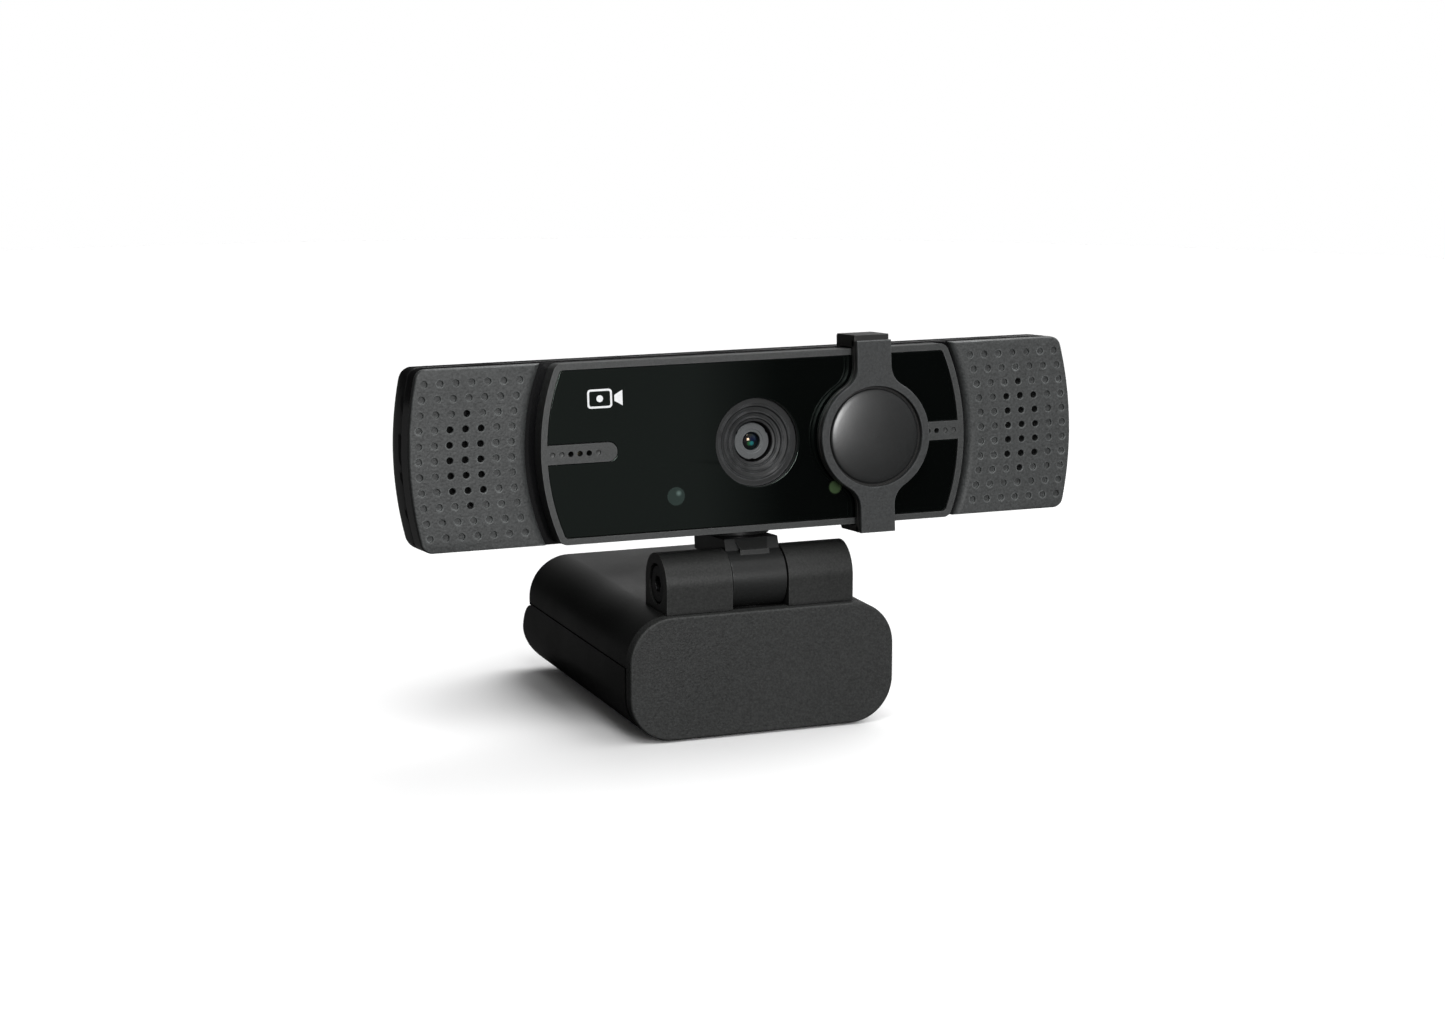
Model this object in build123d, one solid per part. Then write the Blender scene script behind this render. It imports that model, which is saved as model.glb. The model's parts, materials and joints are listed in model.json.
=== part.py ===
from build123d import *
import os
from math import cos, radians, sin, sqrt

# A bar webcam on a folding screen clip. Millimetres, +Z up, +Y to the back, +X to the viewer's right.
# The origin is on the surface that the clip stands on, under the middle of the clip.

# Clip: foot below, arm above, front plate in front
base_width = 50.0
base_height = 22.2
base_depth = 61.5
base_corner = 8.0
plate_thick = 2.4
clip_wall = 1.8
cover_thick = 1.4
back_corner = 3.0
foot_height = 13.0
foot_setback = 1.2
part_gap = 0.3
fit_gap = 0.1
pad_thick = 0.8
pad_edge = 2.0
plate_edge = 0.35
post_inset = 5.0
screw_start = 1.0
screw_bite = 4.0

# Foot pad and tripod thread
foot_proud = 0.3
pad_length = 38.0
pad_corner = 4.0
pad_y = -4.0
insert_y = -12.0
insert_radius = 4.5
insert_length = 6.5
thread_radius = 2.6
thread_depth = 6.0
insert_relief = 2.0
boss_end = 1.0
grip_margin = 0.7
foot_grip_inset = 9.0
foot_grip_length = 9.0
arm_grip_y = -6.0
arm_grip_length = 26.0
arm_post_step = 1.0
arm_post_ys = (-8.0, 14.0)
lip_pad_margin = 2.5

# Hinge between the foot and the arm
hinge_bulge = 2.0
hinge_pin_radius = 1.5
hinge_pin_inset = 4.0
lug_width = 24.0
lug_play = 0.5
lug_clearance = 0.6
washer_step = 1.0
running_gap = 0.05

# Tilt hinge on the arm
ear_front = 1.5
ear_depth = 11.1
ear_axis_rise = 4.7
ear_outer = 17.7
ear_inner = 5.35
bolt_radius = 2.0
bolt_recess_radius = 3.7
bolt_recess_depth = 2.5
bolt_head_radius = 3.3
bolt_head_height = 1.7
hex_socket_radius = 1.5
washer_thick = 0.5
knuckle_radius = 5.3
knuckle_play = 0.2
saddle_gap = 0.4

# Neck and swivel
rest_tilt = 4.55
head_lift = 8.7
swivel_setback = 7.6
swivel_radius = 6.45
swivel_thick = 1.4
swivel_gap = 0.15
tongue_thick = 3.3
tongue_reach = 15.6
tongue_corner = 2.0
heel_share = 0.7
heel_rise_share = 0.5
neck_face_top = -1.1
neck_face_slope = 1.1
stud_radius = 3.0
stud_flange_radius = 4.2
stud_flange = 1.2
seat_radius = 7.2
seat_thick = 2.55
nut_radius = 4.6
nut_thick = 1.4

# Head
head_radius = 62.5
head_height = 31.5
head_corner = 2.0
head_wall = 1.8
head_setback = 5.9
panel_front = 2.26
panel_thick = 1.4
split_depth = 7.6
side_depth = 11.4
head_depth = 23.0
dome_inset = 9.0
dome_steps = 5
dome_softening = 0.35

# Centre frame, glass and lens
frame_radius = 39.9
frame_height = 31.3
frame_corner = 1.6
rim_width = 1.1
glass_recess = 0.2
glass_thick = 1.0
glass_gap = 0.12
channel_width = 1.85
lens_hole_radius = 7.83
hood_gap = 0.08
hood_front = 1.5
hood_step_radii = (6.45, 5.3, 4.3)
hood_step_depth = 0.28
hood_bore_gap = 0.35
hood_wall = 0.8
barrel_radius = 3.25
barrel_front = 3.1
barrel_back = 9.4
aperture_radius = 1.64
lens_seat = 0.6
lens_inset = 0.5
lens_front_depth = 1.2
lens_thick = 1.2
rear_lens_inset = 0.6
rear_lens_thick = 1.4
holder_wall = 1.55
sensor_size = 6.6
sensor_thick = 0.9
filter_thick = 0.3
filter_gap = 1.3
holder_front = 7.0
tab_height = 3.3
tab_reach = 26.1
tab_rise = 0.05
mic_first = 37.87
mic_pitch = 1.66
mic_count = 6
mic_open = (2, 3, 4)
mic_hole_radius = 0.5
mic_dimple = 0.4

# Grille
dot_rows = 11
dot_columns = 7
dot_row_pitch = 2.633
dot_column_pitch = 2.73
dot_first_radius = 60.9
dot_radius = 0.6
dot_depth = 0.5
cloth_width = 12.0
cloth_height = 15.0
cloth_thick = 0.3
cloth_margin = 1.5

# Indicator, light sensor and electronics
led_x = 14.6
led_z = -8.85
pipe_radius = 1.3
sensor_x = -15.5
sensor_z = -8.5
sensor_radius = 1.67
board_width = 72.0
board_bottom = -10.2
board_top = 11.8
board_front = 13.3
board_thick = 1.2
post_x = 30.0
post_low = -7.4
post_high = 9.2
post_radius = 2.2
processor_at = (-14.0, -5.0, -2.0, 7.0, 1.0)
memory_at = (9.0, 17.0, 1.0, 7.0, 0.9)
socket_at = (-4.0, 4.0, -6.5, -3.0, 3.0)
capacitor_xs = (-22.0, -18.0, -14.0, 14.0, 18.0, 22.0)
capacitor_z = -8.6
capacitor_size = (1.6, 0.8, 0.8)
chip_thick = 0.9
led_half = (0.8, 0.6)
light_sensor_half = 1.0
screw_radius = 0.7
screw_head_radius = 1.5
screw_head_height = 0.9
case_screw_x = 47.0
case_screw_z = 7.5
case_screw_radius = 1.0
case_post_radius = 2.5
case_head_radius = 1.9
case_head_height = 1.2
case_pocket = 4.0
mic_board_size = (9.0, 7.0, 0.8)
capsule_size = (3.8, 3.0, 1.1)
gasket_thick = 0.8
gasket_hole = 1.0
capsule_margin = 0.6

# Cable gland in the back of the head
gland_radius = 3.4
gland_flange = 4.4
gland_hole = 1.8
gland_lip = 1.0

# Privacy cover
cover_x = 21.4
cover_front = 3.0
cover_plate_thick = 1.1
cover_back = 0.4
cover_arm_thick = 1.1
cover_arm_reach = 6.3
cover_top = 17.08
cover_arm_top = 18.1
cover_width = 6.6
cover_ring_radius = 10.4
cover_hole_radius = 8.95
cover_disc_radius = 8.47
cover_fillet = 4.0
cover_hook = 0.55
cover_play = 0.2
groove_width = 1.4
groove_depth = 0.8
pad_radius = 8.0

# Levels and axes worked out from the sizes above
front_y = -base_depth / 2
back_y = base_depth / 2
arm_front = front_y + plate_thick
foot_front = arm_front + foot_setback
base_bottom = foot_proud
base_top = base_bottom + base_height
foot_top = base_bottom + foot_height
arm_bottom = foot_top + part_gap
pad_width = base_width - 2 * base_corner
foot_post_x = base_width / 2 - clip_wall - post_inset
arm_post_x = foot_post_x - arm_post_step
grip_width = 2 * (arm_post_x - screw_head_radius - grip_margin)
hinge_radius = foot_height / 2
hinge_pin_half = base_width / 2 - hinge_pin_inset
hinge_y = back_y + hinge_bulge - hinge_radius
hinge_z = base_bottom + hinge_radius
lug_radius = hinge_radius - lug_clearance
slot_front = hinge_y - hinge_radius - lug_play
ear_radius = ear_depth / 2
tilt_y = front_y + ear_front + ear_radius
tilt_z = base_top + ear_axis_rise
head_half = head_height / 2
panel_back = panel_front + panel_thick
hood_bore_radius = barrel_radius + hood_bore_gap
holder_size = 2 * (barrel_radius + holder_wall)
glass_back = glass_recess + glass_thick
shell_front_wall = panel_back + panel_thick
seat_y = swivel_setback + head_setback
board_back = board_front + board_thick
mic_x = mic_first - 3 * mic_pitch
neck_place = Pos(0, tilt_y, tilt_z) * Rot(X=-rest_tilt)
head_place = neck_place * Pos(0, -head_setback, head_lift + head_half)

parts = {}


def block(x0, x1, y0, y1, z0, z1):
    """A box between two corners."""
    middle = Pos((x0 + x1) / 2, (y0 + y1) / 2, (z0 + z1) / 2)
    return middle * Box(abs(x1 - x0), abs(y1 - y0), abs(z1 - z0))


def rod_x(radius, x0, x1, y, z):
    """A cylinder along X."""
    return Pos((x0 + x1) / 2, y, z) * Rot(Y=90) * Cylinder(radius, abs(x1 - x0))


def rod_y(radius, y0, y1, x, z):
    """A cylinder along Y."""
    return Pos(x, (y0 + y1) / 2, z) * Rot(X=90) * Cylinder(radius, abs(y1 - y0))


def rod_z(radius, z0, z1, x, y):
    """A cylinder along Z."""
    return Pos(x, y, (z0 + z1) / 2) * Cylinder(radius, abs(z1 - z0))


def slab(sketch, y0, y1):
    """An outline drawn as seen from the front, X across and Z up, made solid from y0 to y1."""
    return extrude(Plane.XZ.offset(-y0) * sketch, amount=y0 - y1)


def profile(sketch, x0, x1):
    """An outline drawn as seen from the side, Y across and Z up, made solid from x0 to x1."""
    return extrude(Plane.YZ.offset(x0) * sketch, amount=x1 - x0)


def rectangle(a0, a1, b0, b1):
    """A flat rectangle between two corners."""
    return Pos((a0 + a1) / 2, (b0 + b1) / 2) * Rectangle(abs(a1 - a0), abs(b1 - b0))


def group(solids):
    """Separate solids that share one node."""
    return Compound(children=list(solids))


def mirrored(shape):
    """The shape and its mirror image across the middle plane."""
    return [shape, mirror(shape, Plane.YZ)]


def base_section(inset=0.0):
    """The clip's cross-section, drawn as seen from the front."""
    width = base_width - 2 * inset
    height = base_height - 2 * inset
    middle = base_bottom + base_height / 2
    return Pos(0, middle) * RectangleRounded(width, height, base_corner - inset)


def bar_outline(inset, corner, radius=head_radius, height=head_height):
    """The head's outline: a bar whose ends are arcs about its centre."""
    end = radius - inset
    top = height / 2 - inset
    reach = sqrt(end**2 - top**2)
    edges = Line((-reach, top), (reach, top)) + ThreePointArc((reach, top), (end, 0), (reach, -top))
    edges += Line((reach, -top), (-reach, -top)) + ThreePointArc((-reach, -top), (-end, 0), (-reach, top))
    flat = make_face(edges)
    return fillet(flat.vertices(), corner)


# Foot: the lower half of the clip, which stands on the desk and swings open
side = rectangle(foot_front, hinge_y, base_bottom, foot_top) + Pos(hinge_y, hinge_z) * Circle(hinge_radius)
foot = slab(base_section(), foot_front, hinge_y + hinge_radius)
foot &= profile(side, -base_width / 2, base_width / 2)
foot_cavity_back = slot_front - clip_wall
foot_cavity = slab(base_section(clip_wall), foot_front + clip_wall, foot_cavity_back)
foot_cavity &= block(-base_width, base_width, foot_front, back_y, base_bottom, foot_top + 1)
foot -= foot_cavity
slot_half = lug_width / 2 + lug_play
foot -= block(-slot_half, slot_half, slot_front, back_y + hinge_radius, base_bottom - 1, foot_top + 1)
foot_floor = base_bottom + clip_wall
foot_post_ys = (foot_front + clip_wall + post_inset, foot_cavity_back - post_inset)
foot_screws_at = [(x, y) for x in (-foot_post_x, foot_post_x) for y in foot_post_ys]
cover_bottom = foot_top - cover_thick
for x, y in foot_screws_at:
    foot += rod_z(post_radius, base_bottom + clip_wall / 2, cover_bottom, x, y)
    foot -= rod_z(screw_radius, foot_floor + screw_start, cover_bottom, x, y)
boss_radius = insert_radius + clip_wall
foot += rod_z(boss_radius, base_bottom, base_bottom + insert_length + boss_end, 0, insert_y)
foot -= rod_z(insert_radius, base_bottom, base_bottom + insert_length, 0, insert_y)
foot -= rod_x(hinge_pin_radius, -hinge_pin_half, hinge_pin_half, hinge_y, hinge_z)
pad_outline = RectangleRounded(pad_width, pad_length, pad_corner)
pad_inside = foot_proud + pad_thick
foot -= Pos(0, pad_y, 0) * extrude(pad_outline, amount=pad_inside) - rod_z(
    insert_radius + insert_relief, 0, pad_inside, 0, insert_y
)
parts["foot_shell"] = foot

pad = Pos(0, pad_y, 0) * extrude(pad_outline, amount=pad_inside)
parts["foot_pad"] = pad - rod_z(insert_radius + insert_relief, 0, pad_inside, 0, insert_y)

insert = rod_z(insert_radius, base_bottom, base_bottom + insert_length, 0, insert_y)
parts["tripod_insert"] = insert - rod_z(thread_radius, base_bottom, base_bottom + thread_depth, 0, insert_y)

cover_section = base_section(clip_wall + fit_gap)
cover_edge = slab(cover_section, foot_front + clip_wall + fit_gap, foot_cavity_back - fit_gap)
foot_cover = cover_edge & block(-base_width, base_width, front_y, back_y, cover_bottom, foot_top)
grip_front = foot_front + clip_wall + foot_grip_inset
grip_outline = RectangleRounded(grip_width, foot_grip_length, pad_edge)
grip = Pos(0, grip_front, foot_top - pad_thick) * extrude(grip_outline, amount=pad_thick)
foot_cover -= grip
for x, y in foot_screws_at:
    foot_cover -= rod_z(screw_radius + fit_gap, cover_bottom, foot_top, x, y)
    foot_cover -= rod_z(screw_head_radius + fit_gap, foot_top - screw_head_height, foot_top, x, y)
parts["foot_cover"] = foot_cover
parts["foot_grip"] = grip
parts["foot_screws"] = group(
    rod_z(screw_head_radius, foot_top - screw_head_height, foot_top, x, y)
    + rod_z(screw_radius, foot_floor + screw_start, foot_top - screw_head_height, x, y)
    for x, y in foot_screws_at
)

parts["hinge_pin"] = rod_x(hinge_pin_radius, -hinge_pin_half, hinge_pin_half, hinge_y, hinge_z)
hinge_washer_thick = lug_play - 2 * running_gap
hinge_washer_x = lug_width / 2 + running_gap
hinge_washer_end = hinge_washer_x + hinge_washer_thick
hinge_washer = rod_x(lug_radius - washer_step, hinge_washer_x, hinge_washer_end, hinge_y, hinge_z)
hinge_washer -= rod_x(hinge_pin_radius, hinge_washer_x, hinge_washer_end, hinge_y, hinge_z)
parts["hinge_washers"] = group(mirrored(hinge_washer))

# Arm: the upper half of the clip, which rests on top of the screen and carries the head
arm = slab(base_section(), arm_front, back_y)
arm = fillet(arm.edges().filter_by(Plane.XZ).group_by(Axis.Y)[-1], back_corner)
skirt = rectangle(back_y - clip_wall, back_y, hinge_z, arm_bottom)
skirt -= Pos(hinge_y, hinge_z) * Circle(hinge_radius + part_gap)
arm_side = rectangle(front_y, back_y, arm_bottom, base_top) + skirt
arm &= profile(arm_side, -base_width / 2, base_width / 2)
arm_cavity = slab(base_section(clip_wall), arm_front + clip_wall, back_y - clip_wall)
arm_cavity &= block(-base_width, base_width, front_y, back_y, arm_bottom - 1, base_top)
arm -= arm_cavity
ear_side = Pos(tilt_y, tilt_z) * Circle(ear_radius)
ear_side += rectangle(tilt_y - ear_radius, tilt_y + ear_radius, base_top + fit_gap, tilt_z)
ear_side += rectangle(arm_front, tilt_y + ear_radius, base_top - clip_wall, base_top + 1.0)
for ear in mirrored(profile(ear_side, ear_inner, ear_outer)):
    arm += ear
arm -= rod_x(knuckle_radius + saddle_gap, -ear_inner, ear_inner, tilt_y, tilt_z)
arm -= rod_x(bolt_radius, -ear_outer, ear_outer, tilt_y, tilt_z)
recess_x = ear_outer - bolt_recess_depth
for recess in mirrored(rod_x(bolt_recess_radius, recess_x, ear_outer, tilt_y, tilt_z)):
    arm -= recess
web_front = hinge_y - lug_radius
lug_side = rectangle(web_front, back_y - back_corner, hinge_z, base_top - clip_wall / 2)
lug_side += rectangle(web_front, hinge_y, hinge_z, arm_bottom) + Pos(hinge_y, hinge_z) * Circle(lug_radius)
arm += profile(lug_side, -lug_width / 2, lug_width / 2)
arm -= rod_x(hinge_pin_radius + running_gap, -lug_width / 2, lug_width / 2, hinge_y, hinge_z)
plate_screw_x = base_width / 4
plate_screw_z = (arm_bottom + base_top) / 2
plate_hole = rod_y(screw_radius + fit_gap, arm_front, arm_front + clip_wall, plate_screw_x, plate_screw_z)
for hole in mirrored(plate_hole):
    arm -= hole
arm_posts_at = [(x, y) for x in (-arm_post_x, arm_post_x) for y in arm_post_ys]
arm_cover_top = arm_bottom + cover_thick
for x, y in arm_posts_at:
    arm += rod_z(post_radius, arm_cover_top, base_top - clip_wall / 2, x, y)
    arm -= rod_z(screw_radius, arm_cover_top, base_top - clip_wall - screw_start, x, y)
parts["arm_shell"] = arm

arm_cover = slab(cover_section, arm_front + clip_wall + fit_gap, back_y - clip_wall - fit_gap)
arm_cover &= block(-base_width, base_width, front_y, back_y, arm_bottom, arm_cover_top)
web_half = lug_width / 2 + fit_gap
arm_cover -= block(-web_half, web_half, web_front - fit_gap, back_y, arm_bottom, arm_cover_top)
arm_grip_outline = RectangleRounded(grip_width, arm_grip_length, pad_edge)
arm_grip = Pos(0, arm_grip_y, arm_bottom) * extrude(arm_grip_outline, amount=pad_thick)
arm_cover -= arm_grip
for x, y in arm_posts_at:
    arm_cover -= rod_z(screw_radius + fit_gap, arm_bottom, arm_cover_top, x, y)
    arm_cover -= rod_z(screw_head_radius + fit_gap, arm_bottom, arm_bottom + screw_head_height, x, y)
parts["arm_cover"] = arm_cover
parts["arm_grip"] = arm_grip
parts["arm_screws"] = group(
    rod_z(screw_head_radius, arm_bottom, arm_bottom + screw_head_height, x, y)
    + rod_z(screw_radius, arm_bottom + screw_head_height, base_top - clip_wall - screw_start, x, y)
    for x, y in arm_posts_at
)

# Front plate: the lip that hangs over the screen's front edge
plate = slab(base_section(), front_y, arm_front)
plate = fillet(plate.edges().filter_by(Plane.XZ).group_by(Axis.Y)[0], plate_edge)
screw_into_plate = arm_front - 2 * plate_thick / 3
for hole in mirrored(rod_y(screw_radius, screw_into_plate, arm_front, plate_screw_x, plate_screw_z)):
    plate -= hole
parts["front_plate"] = plate
plate_screw = rod_y(screw_radius, screw_into_plate, arm_front + clip_wall, plate_screw_x, plate_screw_z)
plate_head_y = arm_front + clip_wall
plate_head_back = plate_head_y + screw_head_height
plate_screw += rod_y(screw_head_radius, plate_head_y, plate_head_back, plate_screw_x, plate_screw_z)
parts["plate_screws"] = group(mirrored(plate_screw))
lip_outline = RectangleRounded(pad_width, foot_height - 2 * lip_pad_margin, pad_edge)
lip_outline = Pos(0, base_bottom + foot_height / 2) * lip_outline
parts["lip_pad"] = slab(lip_outline, arm_front, arm_front + pad_thick)

# Tilt bolt through the ears
washer_x = recess_x + washer_thick
bolt = rod_x(bolt_radius, -recess_x, washer_x + bolt_head_height, tilt_y, tilt_z)
bolt += rod_x(bolt_radius, -washer_x, -recess_x, tilt_y, tilt_z)
bolt += rod_x(bolt_head_radius, -washer_x - bolt_head_height, -washer_x, tilt_y, tilt_z)
hexagon = Pos(tilt_y, tilt_z) * RegularPolygon(hex_socket_radius, 6)
hex_socket = profile(hexagon, -washer_x - bolt_head_height, -washer_x)
parts["tilt_bolt"] = bolt - hex_socket
nut_end = washer_x + bolt_head_height
tilt_nut = profile(Pos(tilt_y, tilt_z) * RegularPolygon(bolt_head_radius, 6), washer_x, nut_end)
parts["tilt_nut"] = tilt_nut - rod_x(bolt_radius, washer_x, washer_x + bolt_head_height, tilt_y, tilt_z)
tilt_washer = rod_x(bolt_head_radius + fit_gap, recess_x, washer_x, tilt_y, tilt_z)
tilt_washer -= rod_x(bolt_radius, recess_x, washer_x, tilt_y, tilt_z)
parts["tilt_washers"] = group(mirrored(tilt_washer))

# Neck: a knuckle between the ears and a tongue back to the swivel, drawn from the tilt axis
knuckle_half = ear_inner - knuckle_play
tongue_top = head_lift - swivel_gap - swivel_thick
tongue_bottom = tongue_top - tongue_thick
neck_side = Polyline(
    (neck_face_top - neck_face_slope, 0),
    (neck_face_top - neck_face_slope, tongue_bottom),
    (neck_face_top, tongue_top),
    (swivel_setback, tongue_top),
    (swivel_setback, tongue_bottom),
    (heel_share * knuckle_radius, heel_rise_share * knuckle_radius),
    (heel_share * knuckle_radius, 0),
    close=True,
)
neck = rod_x(knuckle_radius, -knuckle_half, knuckle_half, 0, 0)
neck += profile(make_face(neck_side), -knuckle_half, knuckle_half)
tongue = block(-knuckle_half, knuckle_half, swivel_setback, tongue_reach, tongue_bottom, tongue_top)
neck += fillet(tongue.edges().filter_by(Axis.Z).group_by(Axis.Y)[-1], tongue_corner)
neck -= rod_x(bolt_radius + running_gap, -knuckle_half, knuckle_half, 0, 0)
neck -= rod_z(stud_radius, tongue_bottom, tongue_top, 0, swivel_setback)
neck -= rod_z(stud_flange_radius, tongue_bottom, tongue_bottom + stud_flange, 0, swivel_setback)
parts["neck"] = neck_place * neck
disc = rod_z(swivel_radius, tongue_top, tongue_top + swivel_thick, 0, swivel_setback)
disc -= rod_z(stud_radius, tongue_top, tongue_top + swivel_thick, 0, swivel_setback)
parts["swivel_disc"] = neck_place * disc
seat_top = head_lift + seat_thick
nut_bottom = seat_top + fit_gap + washer_thick
nut_top = nut_bottom + nut_thick
stud = rod_z(stud_radius, tongue_bottom + stud_flange, nut_top, 0, swivel_setback)
stud += rod_z(stud_flange_radius, tongue_bottom, tongue_bottom + stud_flange, 0, swivel_setback)
parts["swivel_stud"] = neck_place * stud
swivel_washer = rod_z(nut_radius, seat_top + fit_gap, nut_bottom, 0, swivel_setback)
swivel_washer -= rod_z(stud_radius, seat_top, nut_bottom, 0, swivel_setback)
parts["swivel_washer"] = neck_place * swivel_washer
swivel_nut = Pos(0, swivel_setback, nut_bottom) * extrude(RegularPolygon(nut_radius, 6), amount=nut_thick)
parts["swivel_nut"] = neck_place * (swivel_nut - rod_z(stud_radius, nut_bottom, nut_top, 0, swivel_setback))

# Head, drawn from the middle of the centre frame's front face
case_screws_at = [(x, z) for x in (-case_screw_x, case_screw_x) for z in (-case_screw_z, case_screw_z)]
board_posts_at = [(x, z) for x in (-post_x, post_x) for z in (post_low, post_high)]

front_shell = slab(bar_outline(0, head_corner), panel_back, split_depth)
front_shell -= slab(bar_outline(head_wall, head_corner / 2), shell_front_wall, split_depth)
front_shell -= rod_y(lens_hole_radius + hood_gap + fit_gap, panel_back, shell_front_wall, 0, 0)
front_shell -= rod_y(pipe_radius + fit_gap, panel_back, shell_front_wall, led_x, led_z)
front_shell -= rod_y(sensor_radius + fit_gap, panel_back, shell_front_wall, sensor_x, sensor_z)
cloth_x = dot_first_radius - (dot_columns - 1) / 2 * dot_column_pitch
cloth_half = cloth_width / 2
cloth_sides = (cloth_x - cloth_half, cloth_x + cloth_half)
cloth_back = panel_back + cloth_thick
cloth = block(*cloth_sides, panel_back, cloth_back, -cloth_height / 2, cloth_height / 2)
vent_sides = (cloth_sides[0] + cloth_margin, cloth_sides[1] - cloth_margin)
vent_half = cloth_height / 2 - cloth_margin
vent = block(*vent_sides, panel_back, shell_front_wall, -vent_half, vent_half)
mic_half = capsule_size[0] / 2 + capsule_margin
mic_rise = capsule_size[1] / 2 + capsule_margin
mic_window = block(mic_x - mic_half, mic_x + mic_half, panel_back, shell_front_wall, -mic_rise, mic_rise)
for opening in mirrored(cloth) + mirrored(vent) + mirrored(mic_window):
    front_shell -= opening
post_root = shell_front_wall - panel_thick / 3
for x, z in board_posts_at:
    front_shell += rod_y(post_radius, post_root, board_front, x, z)
    front_shell -= rod_y(screw_radius, board_front - screw_bite, board_front, x, z)
for x, z in case_screws_at:
    front_shell += rod_y(case_post_radius, post_root, side_depth, x, z)
    front_shell -= rod_y(case_screw_radius, side_depth - screw_bite, side_depth, x, z)
groove_y = cover_arm_reach - groove_width + cover_play
groove_left = -cover_width / 2 - cover_play
groove_right = cover_x + cover_width / 2 + cover_play
groove_floor = head_half - groove_depth
groove = block(groove_left, groove_right, groove_y, groove_y + groove_width, groove_floor, head_half)
for channel in (groove, mirror(groove, Plane.XY)):
    front_shell -= channel
parts["front_shell"] = head_place * front_shell


def dome(inset, depth):
    """The rear cover's outer or inner form: a straight wall, then a dome with a flat back."""
    sections = []
    for step in range(dome_steps + 1):
        angle = radians(90.0 * step / dome_steps)
        y = side_depth + (depth - side_depth) * sin(angle)
        shrink = dome_inset * (1 - cos(angle))
        outline = bar_outline(inset + shrink, head_corner + dome_softening * shrink - inset / 3)
        sections.append(Plane.XZ.offset(-y) * outline)
    return loft(sections)


rear_cover = slab(bar_outline(0, head_corner), split_depth, side_depth) + dome(0, head_depth)
solid_cover = rear_cover
rear_cover -= slab(bar_outline(head_wall, head_corner), split_depth, side_depth)
rear_cover -= dome(head_wall, head_depth - head_wall)
for x, z in case_screws_at:
    rear_cover += rod_y(case_post_radius, side_depth, head_depth, x, z) & solid_cover
    rear_cover -= rod_y(case_screw_radius + fit_gap, side_depth, head_depth, x, z)
    rear_cover -= rod_y(case_head_radius + fit_gap, side_depth + case_pocket, head_depth, x, z)
seat = rod_z(seat_radius, -head_half, -head_half + seat_thick, 0, seat_y)
rear_cover += seat & block(-seat_radius, seat_radius, split_depth, head_depth, -head_half, head_half)
nut_room = nut_radius + 2 * fit_gap
rear_cover -= rod_z(nut_room, -head_half + seat_thick, -head_half + 2 * seat_thick, 0, seat_y)
rear_cover -= rod_z(stud_radius + running_gap, -head_half, -head_half + seat_thick, 0, seat_y)
rear_cover -= rod_y(gland_radius, head_depth - head_wall - gland_lip, head_depth, 0, 0)
parts["rear_cover"] = head_place * rear_cover
case_screw = [
    rod_y(case_head_radius, side_depth + case_pocket, side_depth + case_pocket + case_head_height, x, z)
    + rod_y(case_screw_radius, side_depth - screw_bite + screw_start / 2, side_depth + case_pocket, x, z)
    for x, z in case_screws_at
]
parts["case_screws"] = head_place * group(case_screw)

gland = rod_y(gland_radius, head_depth - head_wall, head_depth, 0, 0)
gland += rod_y(gland_flange, head_depth, head_depth + gland_lip, 0, 0)
gland += rod_y(gland_flange, head_depth - head_wall - gland_lip, head_depth - head_wall, 0, 0)
gland -= rod_y(gland_hole, head_depth - head_wall - gland_lip, head_depth + gland_lip, 0, 0)
parts["cable_gland"] = head_place * gland

# Grille panels with rows of dots, some of them open
panel = bar_outline(0, head_corner) - Circle(frame_radius + channel_width)
panel &= rectangle(0, head_radius + 1, -head_half, head_half)
grille = slab(panel, panel_front, panel_back)
middle_row = (dot_rows - 1) // 2
middle_column = (dot_columns - 1) // 2
dots = []
for row in range(dot_rows):
    z = (row - middle_row) * dot_row_pitch
    for column in range(dot_columns):
        radius = dot_first_radius - column * dot_column_pitch
        x = sqrt(radius**2 - z**2)
        off_row = abs(row - middle_row)
        off_column = abs(column - middle_column)
        is_open = (off_row <= 2 and off_column <= 1) or (off_row == 3 and off_column == 0)
        bottom = panel_back if is_open else panel_front + dot_depth
        dots.append(rod_y(dot_radius, panel_front, bottom, x, z))
grille -= dots
for name, solid in zip(("grille_right", "grille_left"), mirrored(grille)):
    parts[name] = head_place * solid
parts["grille_cloths"] = head_place * group(mirrored(cloth))

# Centre frame: a proud rim round the glass, with two tabs that carry the microphone holes
frame = slab(bar_outline(0, frame_corner, frame_radius, frame_height), 0, panel_back)
well = bar_outline(rim_width, frame_corner / 2, frame_radius, frame_height)
tab = rectangle(tab_reach + tab_height / 2, frame_radius, tab_rise - tab_height / 2, tab_rise + tab_height / 2)
tab += Pos(tab_reach + tab_height / 2, tab_rise) * Circle(tab_height / 2)
tabs = tab + mirror(tab, Plane.YZ)
frame -= slab(well - tabs, 0, glass_back)
frame -= rod_y(lens_hole_radius + hood_gap, 0, panel_back, 0, 0)
frame -= rod_y(pipe_radius + running_gap, 0, panel_back, led_x, led_z)
frame -= rod_y(sensor_radius + running_gap, 0, panel_back, sensor_x, sensor_z)
for index in range(mic_count):
    x = mic_first - index * mic_pitch
    bottom = panel_back if index in mic_open else mic_dimple
    for hole in mirrored(rod_y(mic_hole_radius, 0, bottom, x, tab_rise)):
        frame -= hole
parts["centre_frame"] = head_place * frame

pane = bar_outline(rim_width + glass_gap, frame_corner / 2, frame_radius, frame_height)
pane -= offset(tabs, glass_gap)
pane -= Circle(lens_hole_radius)
parts["front_glass"] = head_place * slab(pane, glass_recess, glass_back)

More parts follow.
